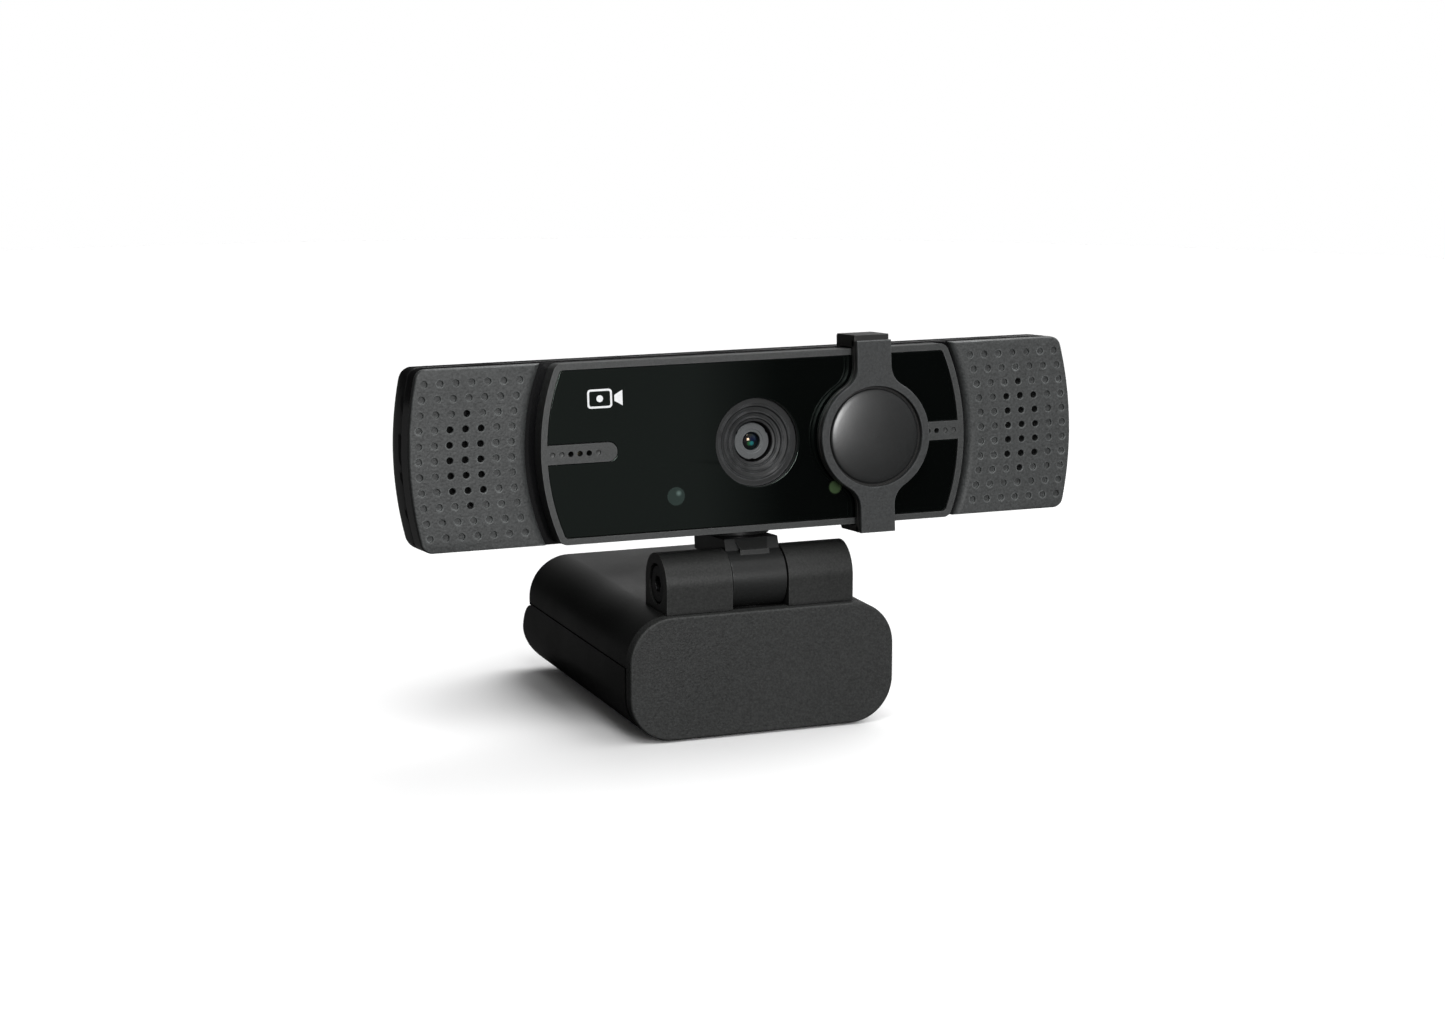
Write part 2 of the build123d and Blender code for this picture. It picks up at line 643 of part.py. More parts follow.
# Lens hood: a stepped funnel down to the lens barrel
hood = rod_y(lens_hole_radius, hood_front, panel_back, 0, 0)
for step, radius in enumerate(hood_step_radii):
    step_front = hood_front + step * hood_step_depth
    hood -= rod_y(radius, step_front, step_front + hood_step_depth, 0, 0)
hood += rod_y(hood_bore_radius + hood_wall, panel_back - hood_wall, holder_front - fit_gap, 0, 0)
hood -= rod_y(hood_bore_radius, hood_front, holder_front, 0, 0)
parts["lens_hood"] = head_place * hood

barrel = rod_y(barrel_radius, barrel_front, barrel_back, 0, 0)
barrel -= rod_y(aperture_radius, barrel_front, barrel_back, 0, 0)
lens_radius = aperture_radius + lens_seat
lens_front = barrel_front + lens_front_depth
lens_back = lens_front + lens_thick
barrel -= rod_y(lens_radius, lens_front, barrel_back, 0, 0)
parts["lens_barrel"] = head_place * barrel
front_lens = rod_y(lens_radius, lens_front, lens_back, 0, 0)
front_lens += rod_y(aperture_radius, barrel_front + lens_inset, lens_front, 0, 0)
parts["front_lens"] = head_place * front_lens
rear_lens_back = barrel_back - rear_lens_inset
rear_lens_front = rear_lens_back - rear_lens_thick
parts["rear_lens"] = head_place * rod_y(lens_radius, rear_lens_front, rear_lens_back, 0, 0)
spacer = rod_y(lens_radius, lens_back, rear_lens_front, 0, 0)
spacer -= rod_y(aperture_radius, lens_back, rear_lens_front, 0, 0)
parts["lens_spacer"] = head_place * spacer

filter_back = board_front - filter_gap
filter_front = filter_back - filter_thick
half = sensor_size / 2
pocket_half = half + fit_gap
holder = block(-holder_size / 2, holder_size / 2, holder_front, board_front, -holder_size / 2, holder_size / 2)
holder -= rod_y(barrel_radius, holder_front, board_front, 0, 0)
holder -= block(-pocket_half, pocket_half, filter_front, board_front, -pocket_half, pocket_half)
parts["lens_holder"] = head_place * holder
parts["infrared_filter"] = head_place * block(-half, half, filter_front, filter_back, -half, half)
parts["image_sensor"] = head_place * block(-half, half, board_front - sensor_thick, board_front, -half, half)

# Main board with its chips, indicator and light sensor
board = block(-board_width / 2, board_width / 2, board_front, board_back, board_bottom, board_top)
for x, z in board_posts_at:
    board -= rod_y(screw_radius + fit_gap, board_front, board_back, x, z)
parts["main_board"] = head_place * board
board_screws = [
    rod_y(screw_head_radius, board_back, board_back + screw_head_height, x, z)
    + rod_y(screw_radius, board_front - screw_bite, board_back, x, z)
    for x, z in board_posts_at
]
parts["board_screws"] = head_place * group(board_screws)
for name, (x0, x1, z0, z1, thick) in (
    ("image_processor", processor_at),
    ("memory_chip", memory_at),
    ("cable_socket", socket_at),
):
    parts[name] = head_place * block(x0, x1, board_back, board_back + thick, z0, z1)
wide, deep, tall = capacitor_size
small_parts = [
    block(x, x + wide, board_back, board_back + deep, capacitor_z, capacitor_z + tall) for x in capacitor_xs
]
parts["board_capacitors"] = head_place * group(small_parts)
pipe_back = board_front - chip_thick
parts["light_pipe"] = head_place * rod_y(pipe_radius, glass_back, pipe_back, led_x, led_z)
led_sides = (led_x - led_half[0], led_x + led_half[0])
led = block(*led_sides, pipe_back, board_front, led_z - led_half[1], led_z + led_half[1])
parts["status_led"] = head_place * led
parts["sensor_window"] = head_place * rod_y(sensor_radius, glass_back, pipe_back, sensor_x, sensor_z)
light_sides = (sensor_x - light_sensor_half, sensor_x + light_sensor_half)
light_rise = (sensor_z - light_sensor_half, sensor_z + light_sensor_half)
parts["light_sensor"] = head_place * block(*light_sides, pipe_back, board_front, *light_rise)

# Microphones behind the tabs
capsule_front = panel_back + gasket_thick
capsule_back = capsule_front + capsule_size[2]


def mic_block(width, height, y0, y1):
    """A block centred on the microphone's place."""
    return block(mic_x - width / 2, mic_x + width / 2, y0, y1, -height / 2, height / 2)


gasket = mic_block(2 * mic_half - fit_gap, 2 * mic_rise - fit_gap, panel_back, capsule_front)
gasket -= rod_y(gasket_hole, panel_back, capsule_front, mic_x, 0)
parts["mic_gaskets"] = head_place * group(mirrored(gasket))
capsule = mic_block(capsule_size[0], capsule_size[1], capsule_front, capsule_back)
parts["mic_capsules"] = head_place * group(mirrored(capsule))
mic_board = mic_block(mic_board_size[0], mic_board_size[1], capsule_back, capsule_back + mic_board_size[2])
parts["mic_boards"] = head_place * group(mirrored(mic_board))

# Privacy cover: a ring on two straps that hook over the head and slide along it
ring = Circle(cover_ring_radius) + Rectangle(cover_width, 2 * cover_top)
ring = fillet(ring.vertices().filter_by(lambda v: abs(v.Y) < cover_ring_radius), cover_fillet)
plate_back = cover_plate_thick - cover_front
cover_plate = slab(ring - Circle(cover_hole_radius), -cover_front, plate_back)
parts["cover_plate"] = head_place * Pos(cover_x, 0, 0) * cover_plate
bracket = slab(ring - Circle(pad_radius), plate_back, -cover_back)
arm_inner = head_half + cover_play
hook_front = groove_y + cover_play
half_width = cover_width / 2
for z0, z1, hook in ((arm_inner, cover_arm_top, -1), (-cover_top, -arm_inner, 1)):
    bracket += block(-half_width, half_width, plate_back, cover_arm_reach, z0, z1)
    inner = -hook * arm_inner
    hook_tip = inner + hook * (cover_play + cover_hook)
    bracket += block(-half_width, half_width, hook_front, cover_arm_reach, inner, hook_tip)
parts["cover_bracket"] = head_place * Pos(cover_x, 0, 0) * bracket
disc_outline = rod_y(cover_disc_radius, -cover_front, plate_back, 0, 0)
parts["cover_disc"] = head_place * Pos(cover_x, 0, 0) * disc_outline
parts["cover_pad"] = head_place * Pos(cover_x, 0, 0) * rod_y(pad_radius, plate_back, -cover_back, 0, 0)

os.makedirs("parts", exist_ok=True)
for name, shape in parts.items():
    export_step(shape, f"parts/{name}.step")
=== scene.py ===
import json
import bmesh
import bpy
from math import atan2, cos, pi, radians, sin, sqrt
from mathutils import Matrix, Vector


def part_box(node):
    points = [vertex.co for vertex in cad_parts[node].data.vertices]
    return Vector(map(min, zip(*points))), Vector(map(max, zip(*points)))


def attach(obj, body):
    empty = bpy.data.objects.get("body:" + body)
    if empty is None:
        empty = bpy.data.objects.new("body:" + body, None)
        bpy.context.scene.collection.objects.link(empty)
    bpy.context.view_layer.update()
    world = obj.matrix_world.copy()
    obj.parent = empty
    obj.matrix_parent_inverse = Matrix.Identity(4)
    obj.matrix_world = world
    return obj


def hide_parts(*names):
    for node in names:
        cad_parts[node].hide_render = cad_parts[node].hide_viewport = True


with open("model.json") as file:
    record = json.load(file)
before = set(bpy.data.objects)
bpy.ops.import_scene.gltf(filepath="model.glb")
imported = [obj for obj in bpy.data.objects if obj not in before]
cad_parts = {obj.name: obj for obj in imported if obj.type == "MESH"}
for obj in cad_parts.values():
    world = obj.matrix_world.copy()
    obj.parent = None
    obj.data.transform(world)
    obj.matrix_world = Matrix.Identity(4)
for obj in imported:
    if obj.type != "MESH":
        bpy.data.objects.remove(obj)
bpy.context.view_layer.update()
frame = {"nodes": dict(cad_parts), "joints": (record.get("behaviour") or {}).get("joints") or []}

# Camera, floor and studio light.
# A pale round floor under a large soft light from above and behind the right shoulder of the
# webcam, with two weak softboxes in front; a pale card in front is mirrored in the glass.
mm = 0.001
scene = bpy.context.scene
scene.view_settings.view_transform = "Standard"
scene.view_settings.look = "None"

camera_data = bpy.data.cameras.new("camera")
camera_data.lens = 75.286
camera_data.sensor_width = 36.0
camera_data.clip_start = 0.01
camera = bpy.data.objects.new("camera", camera_data)
camera.location = (-0.19338, -0.51438, 0.14106)
camera.rotation_euler = (radians(90 - 11.059), 0.0, radians(-20.986))
scene.collection.objects.link(camera)
scene.camera = camera


def fed(tree, node, feeds):
    """Links or sets the named sockets of a node."""
    for name, value in feeds.items():
        if isinstance(value, bpy.types.NodeSocket):
            tree.links.new(value, node.inputs[name])
        else:
            node.inputs[name].default_value = value
    return node


def node_in(tree, kind, feeds=None, **settings):
    """Adds one node to a tree, with its settings and what goes into its sockets."""
    node = tree.nodes.new(kind)
    for name, value in settings.items():
        setattr(node, name, value)
    return fed(tree, node, feeds or {})


def sums(tree, kind, *values):
    """One step of arithmetic."""
    return node_in(tree, "ShaderNodeMath", dict(enumerate(values)), operation=kind).outputs[0]


def ranged(tree, value, low, high, least=0.0, most=1.0, **settings):
    """A value taken from one range to another."""
    return node_in(tree, "ShaderNodeMapRange", {0: value, 1: low, 2: high, 3: least, 4: most}, **settings).outputs[0]


def blend(tree, share, one, two):
    """Two colours mixed by a share."""
    return node_in(tree, "ShaderNodeMix", {0: share, 6: one, 7: two}, data_type="RGBA").outputs[2]


def noise(tree, place, scale, detail=2.0):
    """Uneven clouds, finer with a larger scale."""
    feeds = {"Vector": place, "Scale": scale, "Detail": detail}
    return node_in(tree, "ShaderNodeTexNoise", feeds).outputs["Fac"]


def new_material(name):
    """A new material, with its tree, its shader and the place on the object."""
    material = bpy.data.materials.new(name)
    material.use_nodes = True
    tree = material.node_tree
    return material, tree, tree.nodes["Principled BSDF"], node_in(tree, "ShaderNodeTexCoord").outputs["Object"]


floor_material, tree, shader, place = new_material("pale_floor")
paper = blend(tree, noise(tree, place, 9.0, 3.0), (0.86, 0.86, 0.86, 1.0), (0.9, 0.9, 0.9, 1.0))
rays = node_in(tree, "ShaderNodeLightPath").outputs
# Painted shade: to reflected and bounced rays the floor is nearly black, so the webcam's sides mirror a dark ground
# and take little bounce light from it.
bounced = sums(tree, "MAXIMUM", rays["Is Glossy Ray"], rays["Is Diffuse Ray"])
floor_tone_with_painted_shade = blend(tree, bounced, paper, (0.04, 0.04, 0.04, 1.0))
fed(tree, shader, {"Base Color": floor_tone_with_painted_shade, "Roughness": 0.9, "Specular IOR Level": 0.1})

floor_mesh = bpy.data.meshes.new("floor")
floor_shape = bmesh.new()
bmesh.ops.create_circle(floor_shape, cap_ends=True, radius=0.75, segments=96)
bmesh.ops.translate(floor_shape, verts=floor_shape.verts, vec=(0.0, 0.1, -0.0001))
floor_shape.to_mesh(floor_mesh)
floor_shape.free()
floor = bpy.data.objects.new("floor", floor_mesh)
floor.data.materials.append(floor_material)
scene.collection.objects.link(floor)


def soft_light(name, place, aim, size, watts):
    """A square softbox at a place, turned to face the aim point."""
    data = bpy.data.lights.new(name, "AREA")
    data.shape = "RECTANGLE"
    data.size = data.size_y = size
    data.energy = watts
    light = bpy.data.objects.new(name, data)
    light.location = place
    light.rotation_euler = (Vector(aim) - Vector(place)).to_track_quat("-Z", "Y").to_euler()
    scene.collection.objects.link(light)


soft_light("front_softbox", (0.0, -0.6, 0.18), (0.01, 0.0, 0.05), 0.16, 1.3)
soft_light("shoulder_softbox", (-0.1, -0.3, 0.5), (0.0, 0.0, 0.04), 0.24, 1.0)
sky_data = bpy.data.lights.new("overhead_diffuser", "SUN")
sky_data.energy = 2.4
sky_data.angle = radians(50)
sky = bpy.data.objects.new("overhead_diffuser", sky_data)
sky.rotation_euler = Vector((0.6, 0.5, 0.82)).to_track_quat("Z", "Y").to_euler()
scene.collection.objects.link(sky)

# The world is white to the camera, a soft wash with the card to mirrors, a fill to matt faces.
world = bpy.data.worlds.new("studio")
world.use_nodes = True
scene.world = world
tree = world.node_tree
direction = node_in(tree, "ShaderNodeTexCoord").outputs["Generated"]
to_right, to_back, to_top = node_in(tree, "ShaderNodeSeparateXYZ", {0: direction}).outputs
leaning = sums(tree, "MULTIPLY_ADD", to_right, 0.5, sums(tree, "MULTIPLY", to_back, 0.03))
upward = sums(tree, "MULTIPLY_ADD", to_top, 0.8, leaning)
wash = ranged(tree, upward, 0.15, 0.95, 0.012, 0.45, interpolation_type="SMOOTHSTEP")
card_side = ranged(tree, to_right, 0.37, 0.346, 0.0, 0.16)
card = sums(tree, "MULTIPLY_ADD", card_side, ranged(tree, to_back, -0.72, -0.84), wash)
ahead = sums(tree, "MULTIPLY_ADD", to_back, -0.8, to_right)
fill = ranged(tree, ahead, -0.1, 0.9, 0.02, 1.7, interpolation_type="SMOOTHSTEP")
fill = sums(tree, "ADD", fill, ranged(tree, to_back, 0.2, 0.95, 0.0, 0.4))
rays = node_in(tree, "ShaderNodeLightPath").outputs
spread = node_in(tree, "ShaderNodeMix", {0: rays["Is Diffuse Ray"], 2: card, 3: fill}, data_type="FLOAT").outputs[0]
strength = node_in(tree, "ShaderNodeMix", {0: rays["Is Camera Ray"], 2: spread, 3: 1.0}, data_type="FLOAT").outputs[0]
fed(tree, tree.nodes["Background"], {"Strength": strength, "Color": (1.0, 1.0, 1.0, 1.0)})

# Foot of the clip.
# Injection-moulded black ABS tray with a fine satin texture; its back end is a round barrel,
# slotted for the arm's hinge lug, and its sharp mould edges are eased.
def smooth(mesh, sharp):
    """Shades a mesh smooth, except at edges sharper than an angle."""
    mesh.shade_smooth()
    mesh.set_sharp_from_angle(angle=radians(sharp))
    return mesh


def working(name, mesh):
    """A working object for a mesh that still takes modifiers."""
    piece = bpy.data.objects.new(name, mesh)
    scene.collection.objects.link(piece)
    return piece


def baked(piece, sharp=None):
    """The mesh of a piece with its modifiers worked in; the working object is removed."""
    graph = bpy.context.evaluated_depsgraph_get()
    mesh = bpy.data.meshes.new_from_object(piece.evaluated_get(graph), depsgraph=graph)
    mesh.name = piece.name
    bpy.data.objects.remove(piece)
    return smooth(mesh, sharp) if sharp else mesh


def eased(name, mesh, radius, over=32.0, corner="MITER_SHARP"):
    """Rounds the sharp edges of a mesh by a radius in mm and keeps its flat faces flat."""
    mesh.shade_smooth()
    piece = working(name, mesh)
    ease = piece.modifiers.new("eased edges", "BEVEL")
    ease.width = radius * mm
    ease.segments = 2
    ease.limit_method = "ANGLE"
    ease.angle_limit = radians(over)
    ease.use_clamp_overlap = True
    ease.miter_outer = corner
    piece.modifiers.new("flat faces stay flat", "WEIGHTED_NORMAL").keep_sharp = True
    return baked(piece)


def softened(node, radius):
    """A copy of a CAD piece with its sharp edges rounded by a small radius, in mm."""
    mesh = frame["nodes"][node].data.copy()
    for layer in [a.name for a in mesh.attributes if a.name == "custom_normal"]:
        mesh.attributes.remove(mesh.attributes[layer])
    shape = bmesh.new()
    shape.from_mesh(mesh)
    bmesh.ops.remove_doubles(shape, verts=shape.verts, dist=0.003 * mm)
    bmesh.ops.dissolve_limit(shape, angle_limit=radians(0.8), verts=shape.verts, edges=shape.edges)
    bmesh.ops.recalc_face_normals(shape, faces=shape.faces)
    shape.to_mesh(mesh)
    shape.free()
    return eased(node + "_soft", mesh, radius, corner="MITER_ARC")


def fitted(name, mesh, material, body, slot, *nodes):
    """Puts a finished mesh on its body, in place of the CAD pieces that it stands for."""
    piece = bpy.data.objects.new(name, mesh)
    piece.data.materials.clear()
    piece.data.materials.append(material)
    scene.collection.objects.link(piece)
    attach(piece, body)
    if nodes:
        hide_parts(*nodes)


def fitted_soft(name, node, radius, material, body, slot):
    """Fits a CAD piece's softened copy."""
    fitted(name, softened(node, radius), material, body, slot, node)


def dressed(material, *nodes):
    """Gives CAD pieces whose shape is right their finish."""
    for node in nodes:
        piece = frame["nodes"][node]
        if not piece.material_slots:
            piece.data.materials.append(material)
        for held in piece.material_slots:
            held.material = material


def new_group(name, values, results):
    """An empty shader node group that takes a place and named values."""
    group = bpy.data.node_groups.new(name, "ShaderNodeTree")
    group.interface.new_socket("Place", in_out="INPUT", socket_type="NodeSocketVector")
    for label in values:
        group.interface.new_socket(label, in_out="INPUT", socket_type="NodeSocketFloat")
    for label in results:
        group.interface.new_socket(label, in_out="OUTPUT", socket_type="NodeSocketFloat")
    return group, node_in(group, "NodeGroupInput").outputs, node_in(group, "NodeGroupOutput")


# Spark-eroded mould texture: fine uneven grain with a few deeper pits.
grain, given, out = new_group("mould texture", ["Size"], ["Height", "Tone"])
rate = sums(grain, "DIVIDE", 1.0, given["Size"])
fine_feeds = {"Vector": given["Place"], "Scale": rate, "Detail": 3.0, "Roughness": 0.7}
fine = node_in(grain, "ShaderNodeTexNoise", fine_feeds).outputs["Fac"]
pits = node_in(grain, "ShaderNodeTexVoronoi", {"Vector": given["Place"], "Scale": rate}, feature="SMOOTH_F1")
pit_depth = ranged(grain, pits.outputs["Distance"], 0.1, 0.6, 0.0, 0.6)
fed(grain, out, {"Height": sums(grain, "ADD", fine, pit_depth), "Tone": ranged(grain, fine, 0.3, 0.7)})

# Edges painted lighter, broken up along their length: handling wear, and on the finishes with a strong mask a painted
# highlight.
worn_and_highlit, given, out = new_group("rubbed edges", ["Width", "Amount"], ["Mask"])
rounded = node_in(worn_and_highlit, "ShaderNodeBevel", {"Radius": given["Width"]}, samples=4).outputs[0]
true_face = node_in(worn_and_highlit, "ShaderNodeNewGeometry").outputs["Normal"]
lean = node_in(worn_and_highlit, "ShaderNodeVectorMath", {0: rounded, 1: true_face}, operation="DOT_PRODUCT")
edge = ranged(worn_and_highlit, lean.outputs["Value"], 0.995, 0.86)
broken = ranged(worn_and_highlit, noise(worn_and_highlit, given["Place"], 420.0, 4.0), 0.38, 0.68, 0.15)
fed(worn_and_highlit, out, {"Mask": sums(worn_and_highlit, "MULTIPLY", sums(worn_and_highlit, "MULTIPLY", edge, broken), given["Amount"])})

# Handling film: broad faint smears that dull the shine, and a few settled specks of dust.
film, given, out = new_group("smears and dust", ["Dull", "Bright"], ["Roughness", "Dust"])
smear = ranged(film, noise(film, given["Place"], 55.0, 5.0), 0.35, 0.7, given["Bright"], given["Dull"])
specks = node_in(film, "ShaderNodeTexVoronoi", {"Vector": given["Place"], "Scale": 900.0})
speck = ranged(film, specks.outputs["Distance"], 0.07, 0.05)
where = ranged(film, noise(film, given["Place"], 130.0), 0.62, 0.7)
fed(film, out, {"Roughness": smear, "Dust": sums(film, "MULTIPLY", speck, where)})


def placed_group(tree, group, place, **values):
    """One use of a shader group in a material, with its own values."""
    return node_in(tree, "ShaderNodeGroup", {"Place": place, **values}, node_tree=group).outputs


def toned(colour, gain, lift=0.0):
    """A colour made lighter or darker."""
    return [min(1.0, c * gain + lift) for c in colour] + [1.0]


def moulded(name, colour, bright, dull, size, depth, tone=0.18, wear_and_highlight=0.35, lift=2.2, sheen=0.5):
    """Moulded plastic: its colour, least and most roughness, grain size and depth in mm."""
    material, tree, shader, place = new_material(name)
    texture = placed_group(tree, grain, place, Size=size * mm)
    edges = placed_group(tree, worn_and_highlit, place, Width=0.35 * mm, Amount=wear_and_highlight)
    haze = placed_group(tree, film, place, Bright=bright, Dull=dull)
    base = blend(tree, texture["Tone"], toned(colour, 1 - tone), toned(colour, 1 + tone))
    # Edges are painted lighter through the mask: handling wear and painted highlight.
    edge_worn_and_highlit_colour = blend(tree, edges["Mask"], base, toned(colour, lift, 0.01))
    dusty = blend(tree, haze["Dust"], edge_worn_and_highlit_colour, toned(colour, 1.6, 0.02))
    bump = node_in(tree, "ShaderNodeBump", {"Height": texture["Height"], "Distance": depth * mm, "Strength": 0.7})
    feeds = {"Base Color": dusty, "Roughness": haze["Roughness"], "Normal": bump.outputs[0]}
    fed(tree, shader, {**feeds, "Specular IOR Level": sheen})
    return material


clip_colour = (0.0105, 0.0108, 0.0105)
clip_black = moulded("satin_black_clip", clip_colour, 0.3, 0.42, 0.35, 0.016, tone=0.3, lift=3.0, sheen=0.35)
fitted_soft("foot_housing", "foot_shell", 0.22, clip_black, "foot", "clip_plastic")

# Covers inside the closed clip.
# Flat black lids that drop into the foot and the arm and are screwed to their posts; they only
# show when the clip is opened, and are made of the same plastic with a coarser texture.
lid_black = moulded("coarse_black_lid", (0.016, 0.016, 0.017), 0.5, 0.62, 0.5, 0.03, wear_and_highlight=0.2)
fitted_soft("foot_lid", "foot_cover", 0.18, lid_black, "foot", "clip_plastic")
fitted_soft("arm_lid", "arm_cover", 0.18, lid_black, "arm", "clip_plastic")

# Rubber pads.
# Dark grey thermoplastic rubber: the foot's standing pad, the two grips that hold the screen and
# the strip behind the lip. Matt and soft-edged; the grips and the strip have cut grooves.
rubber = moulded("matt_rubber", (0.02, 0.02, 0.021), 0.72, 0.86, 0.25, 0.03, tone=0.25, wear_and_highlight=0.5, lift=1.8, sheen=0.3)
fitted_soft("standing_pad", "foot_pad", 0.25, rubber, "foot", "rubber")


def geometry_tree(name, **sockets):
    """An empty geometry tree with inputs listed by kind; its inputs and its output node."""
    tree = bpy.data.node_groups.new(name, "GeometryNodeTree")
    for kind, labels in {"Geometry": "Geometry", **sockets, "Material": "Finish"}.items():
        for label in labels.split(", "):
            tree.interface.new_socket(label, in_out="INPUT", socket_type="NodeSocket" + kind)
    tree.interface.new_socket("Geometry", in_out="OUTPUT", socket_type="NodeSocketGeometry")
    return tree, node_in(tree, "NodeGroupInput").outputs, node_in(tree, "NodeGroupOutput")


def coated(tree, geometry, given, out):
    """Ends a geometry tree with the material."""
    coat = node_in(tree, "GeometryNodeSetMaterial", {"Geometry": geometry, "Material": given["Finish"]})
    tree.links.new(coat.outputs[0], out.inputs[0])


def realized(tree, points, solid, **feeds):
    """A solid set at each point, as real geometry."""
    feeds = {"Points": points, "Instance": solid.outputs["Mesh"], **feeds}
    spots = node_in(tree, "GeometryNodeInstanceOnPoints", feeds)
    return node_in(tree, "GeometryNodeRealizeInstances", {"Geometry": spots.outputs[0]}).outputs[0]


def cut_by(tree, mesh, cutters, **settings):
    """A mesh with cutters taken out of it."""
    feeds = {"Mesh 1": mesh, "Mesh 2": cutters}
    return node_in(tree, "GeometryNodeMeshBoolean", feeds, operation="DIFFERENCE", **settings)


def run_tree(piece, tree, values, sharp):
    """The mesh of a working piece with a geometry tree run on it."""
    maker = piece.modifiers.new(tree.name, "NODES")
    maker.node_group = tree
    for item in tree.interface.items_tree:
        if item.in_out == "INPUT" and item.name in values:
            maker[item.identifier] = values[item.name]
    return baked(piece, sharp)


def grooved(name, node, count, along, face, outer):
    """A rubber pad with grooves cut in one face, set out along the pad."""
    tree, given, out = geometry_tree(name + " grooves", Int="Count", Float="Pitch", Vector="Groove Size, Start")
    step = node_in(tree, "ShaderNodeCombineXYZ", {along: given["Pitch"]}).outputs[0]
    line_feeds = {"Count": given["Count"], "Start Location": given["Start"], "Offset": step}
    line = node_in(tree, "GeometryNodeMeshLine", line_feeds).outputs["Mesh"]
    bar = node_in(tree, "GeometryNodeMeshCube", {"Size": given["Groove Size"]})
    coated(tree, cut_by(tree, given["Geometry"], realized(tree, line, bar)).outputs["Mesh"], given, out)
    low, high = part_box(node)
    margin = 1.6 * mm
    pitch = (high[along] - low[along] - 2 * margin) / (count - 1)
    groove = [extent - 2 * margin for extent in high - low]
    groove[along] = pitch * 0.38
    groove[face] = 0.5 * mm
    start = (low + high) / 2
    start[along] = low[along] + margin
    start[face] = (high if outer else low)[face]
    values = {"Count": count, "Pitch": pitch, "Groove Size": groove, "Start": start, "Finish": rubber}
    return run_tree(working(name, softened(node, 0.2)), tree, values, 32.0)


for name, node, count, along, face, outer, body in (
    ("foot_grip_pad", "foot_grip", 7, 1, 2, True, "foot"),
    ("arm_grip_pad", "arm_grip", 16, 1, 2, False, "arm"),
    ("lip_strip", "lip_pad", 17, 0, 1, True, "arm"),
):
    fitted(name, grooved(name, node, count, along, face, outer), rubber, body, "rubber", node)

# Tripod insert.
# A turned brass bush with a quarter-inch thread, pressed into the foot's boss; the thread is cut
# as close rings in the bore and the mouth has a small lead-in chamfer.
def stacked(name, rings, close=True):
    """A closed skin through rings of equal count, each a list of points, joined in turn."""
    mesh = bpy.data.meshes.new(name)
    shape = bmesh.new()
    rows = [[shape.verts.new(Vector(p) * mm) for p in ring] for ring in rings]
    count = len(rows[0])
    for one, two in zip(rows, rows[1:] + rows[:1] if close else rows[1:]):
        for i in range(count):
            j = (i + 1) % count
            shape.faces.new((one[i], one[j], two[j], two[i]))
    if not close:
        shape.faces.new(rows[0])
        shape.faces.new(rows[-1])
    bmesh.ops.remove_doubles(shape, verts=shape.verts, dist=0.0004 * mm)
    bmesh.ops.recalc_face_normals(shape, faces=shape.faces)
    shape.to_mesh(mesh)
    shape.free()
    return mesh


def circle(radius, sides, x=0.0, y=0.0):
    """Points round a circle."""
    turn = [2 * pi * i / sides for i in range(sides)]
    return [(x + radius * cos(a), y + radius * sin(a)) for a in turn]


def metal(name, colour, roughness, across=(1.0, 1.0, 14.0)):
    """Turned or drawn metal with fine tool lines, stretched along the given direction."""
    material, tree, shader, place = new_material(name)
    stretch = node_in(tree, "ShaderNodeMapping", {"Vector": place, "Scale": across}).outputs[0]
    lines = noise(tree, stretch, 900.0, 4.0)
    edges = placed_group(tree, worn_and_highlit, place, Width=0.2 * mm, Amount=0.6)
    tone = blend(tree, lines, toned(colour, 0.82), toned(colour, 1.12))
    # Edges are painted lighter through the same mask: wear and painted highlight.
    edge_worn_and_highlit_colour = blend(tree, edges["Mask"], tone, toned(colour, 1.35, 0.03))
    spread = ranged(tree, lines, 0.3, 0.7, roughness - 0.06, roughness + 0.12)
    bump = node_in(tree, "ShaderNodeBump", {"Height": lines, "Distance": 0.004 * mm, "Strength": 0.5})
    fed(tree, shader, {"Base Color": edge_worn_and_highlit_colour, "Roughness": spread, "Normal": bump.outputs[0], "Metallic": 1.0})
    return material


brass = metal("turned_brass", (0.72, 0.5, 0.2), 0.28)
insert_low, insert_high = (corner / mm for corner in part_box("tripod_insert"))
insert_middle = (insert_low + insert_high) / 2
insert_radius = (insert_high.x - insert_low.x) / 2
thread_radius = 2.62
thread_depth = 0.42
bottom, top = insert_low.z, insert_high.z
insert_outline = [(insert_radius - 0.3, bottom), (insert_radius, bottom + 0.3), (insert_radius, top - 0.3)]
insert_outline += [(insert_radius - 0.3, top), (thread_radius, top), (thread_radius, bottom + 5.9)]
insert_outline += [(thread_radius + thread_depth * (turn % 2), bottom + 5.7 - turn * 0.65) for turn in range(8)]
insert_outline += [(thread_radius, bottom + 0.55), (thread_radius + 0.45, bottom)]
insert_rings = [[(x, y, z) for x, y in circle(r, 40, insert_middle.x, insert_middle.y)] for r, z in insert_outline]
fitted("tripod_bush", smooth(stacked("tripod_bush", insert_rings), 28), brass, "foot", "brass", "tripod_insert")

# Screws.
# Small pan-head steel screws with a cross recess, black where they show on the outside; one
# geometry tree sets a screw at each point, from named sizes.
bright_steel = metal("zinc_plated_steel", (0.55, 0.55, 0.54), 0.3)
black_steel = metal("blackened_steel", (0.06, 0.06, 0.062), 0.36)
sizes = "Head Radius, Head Height, Shank Radius, Shank Length, Crown"
screw_tree, given, out = geometry_tree("cross-head screws", Float=sizes, Vector="Slot Size, Turn")


def raised(kind, height, feeds):
    """A solid of the screw, moved along its axis."""
    lift = node_in(screw_tree, "ShaderNodeCombineXYZ", {"Z": height}).outputs[0]
    solid = node_in(screw_tree, "GeometryNodeMesh" + kind, feeds).outputs["Mesh"]
    return node_in(screw_tree, "GeometryNodeTransform", {"Geometry": solid, "Translation": lift}).outputs[0]


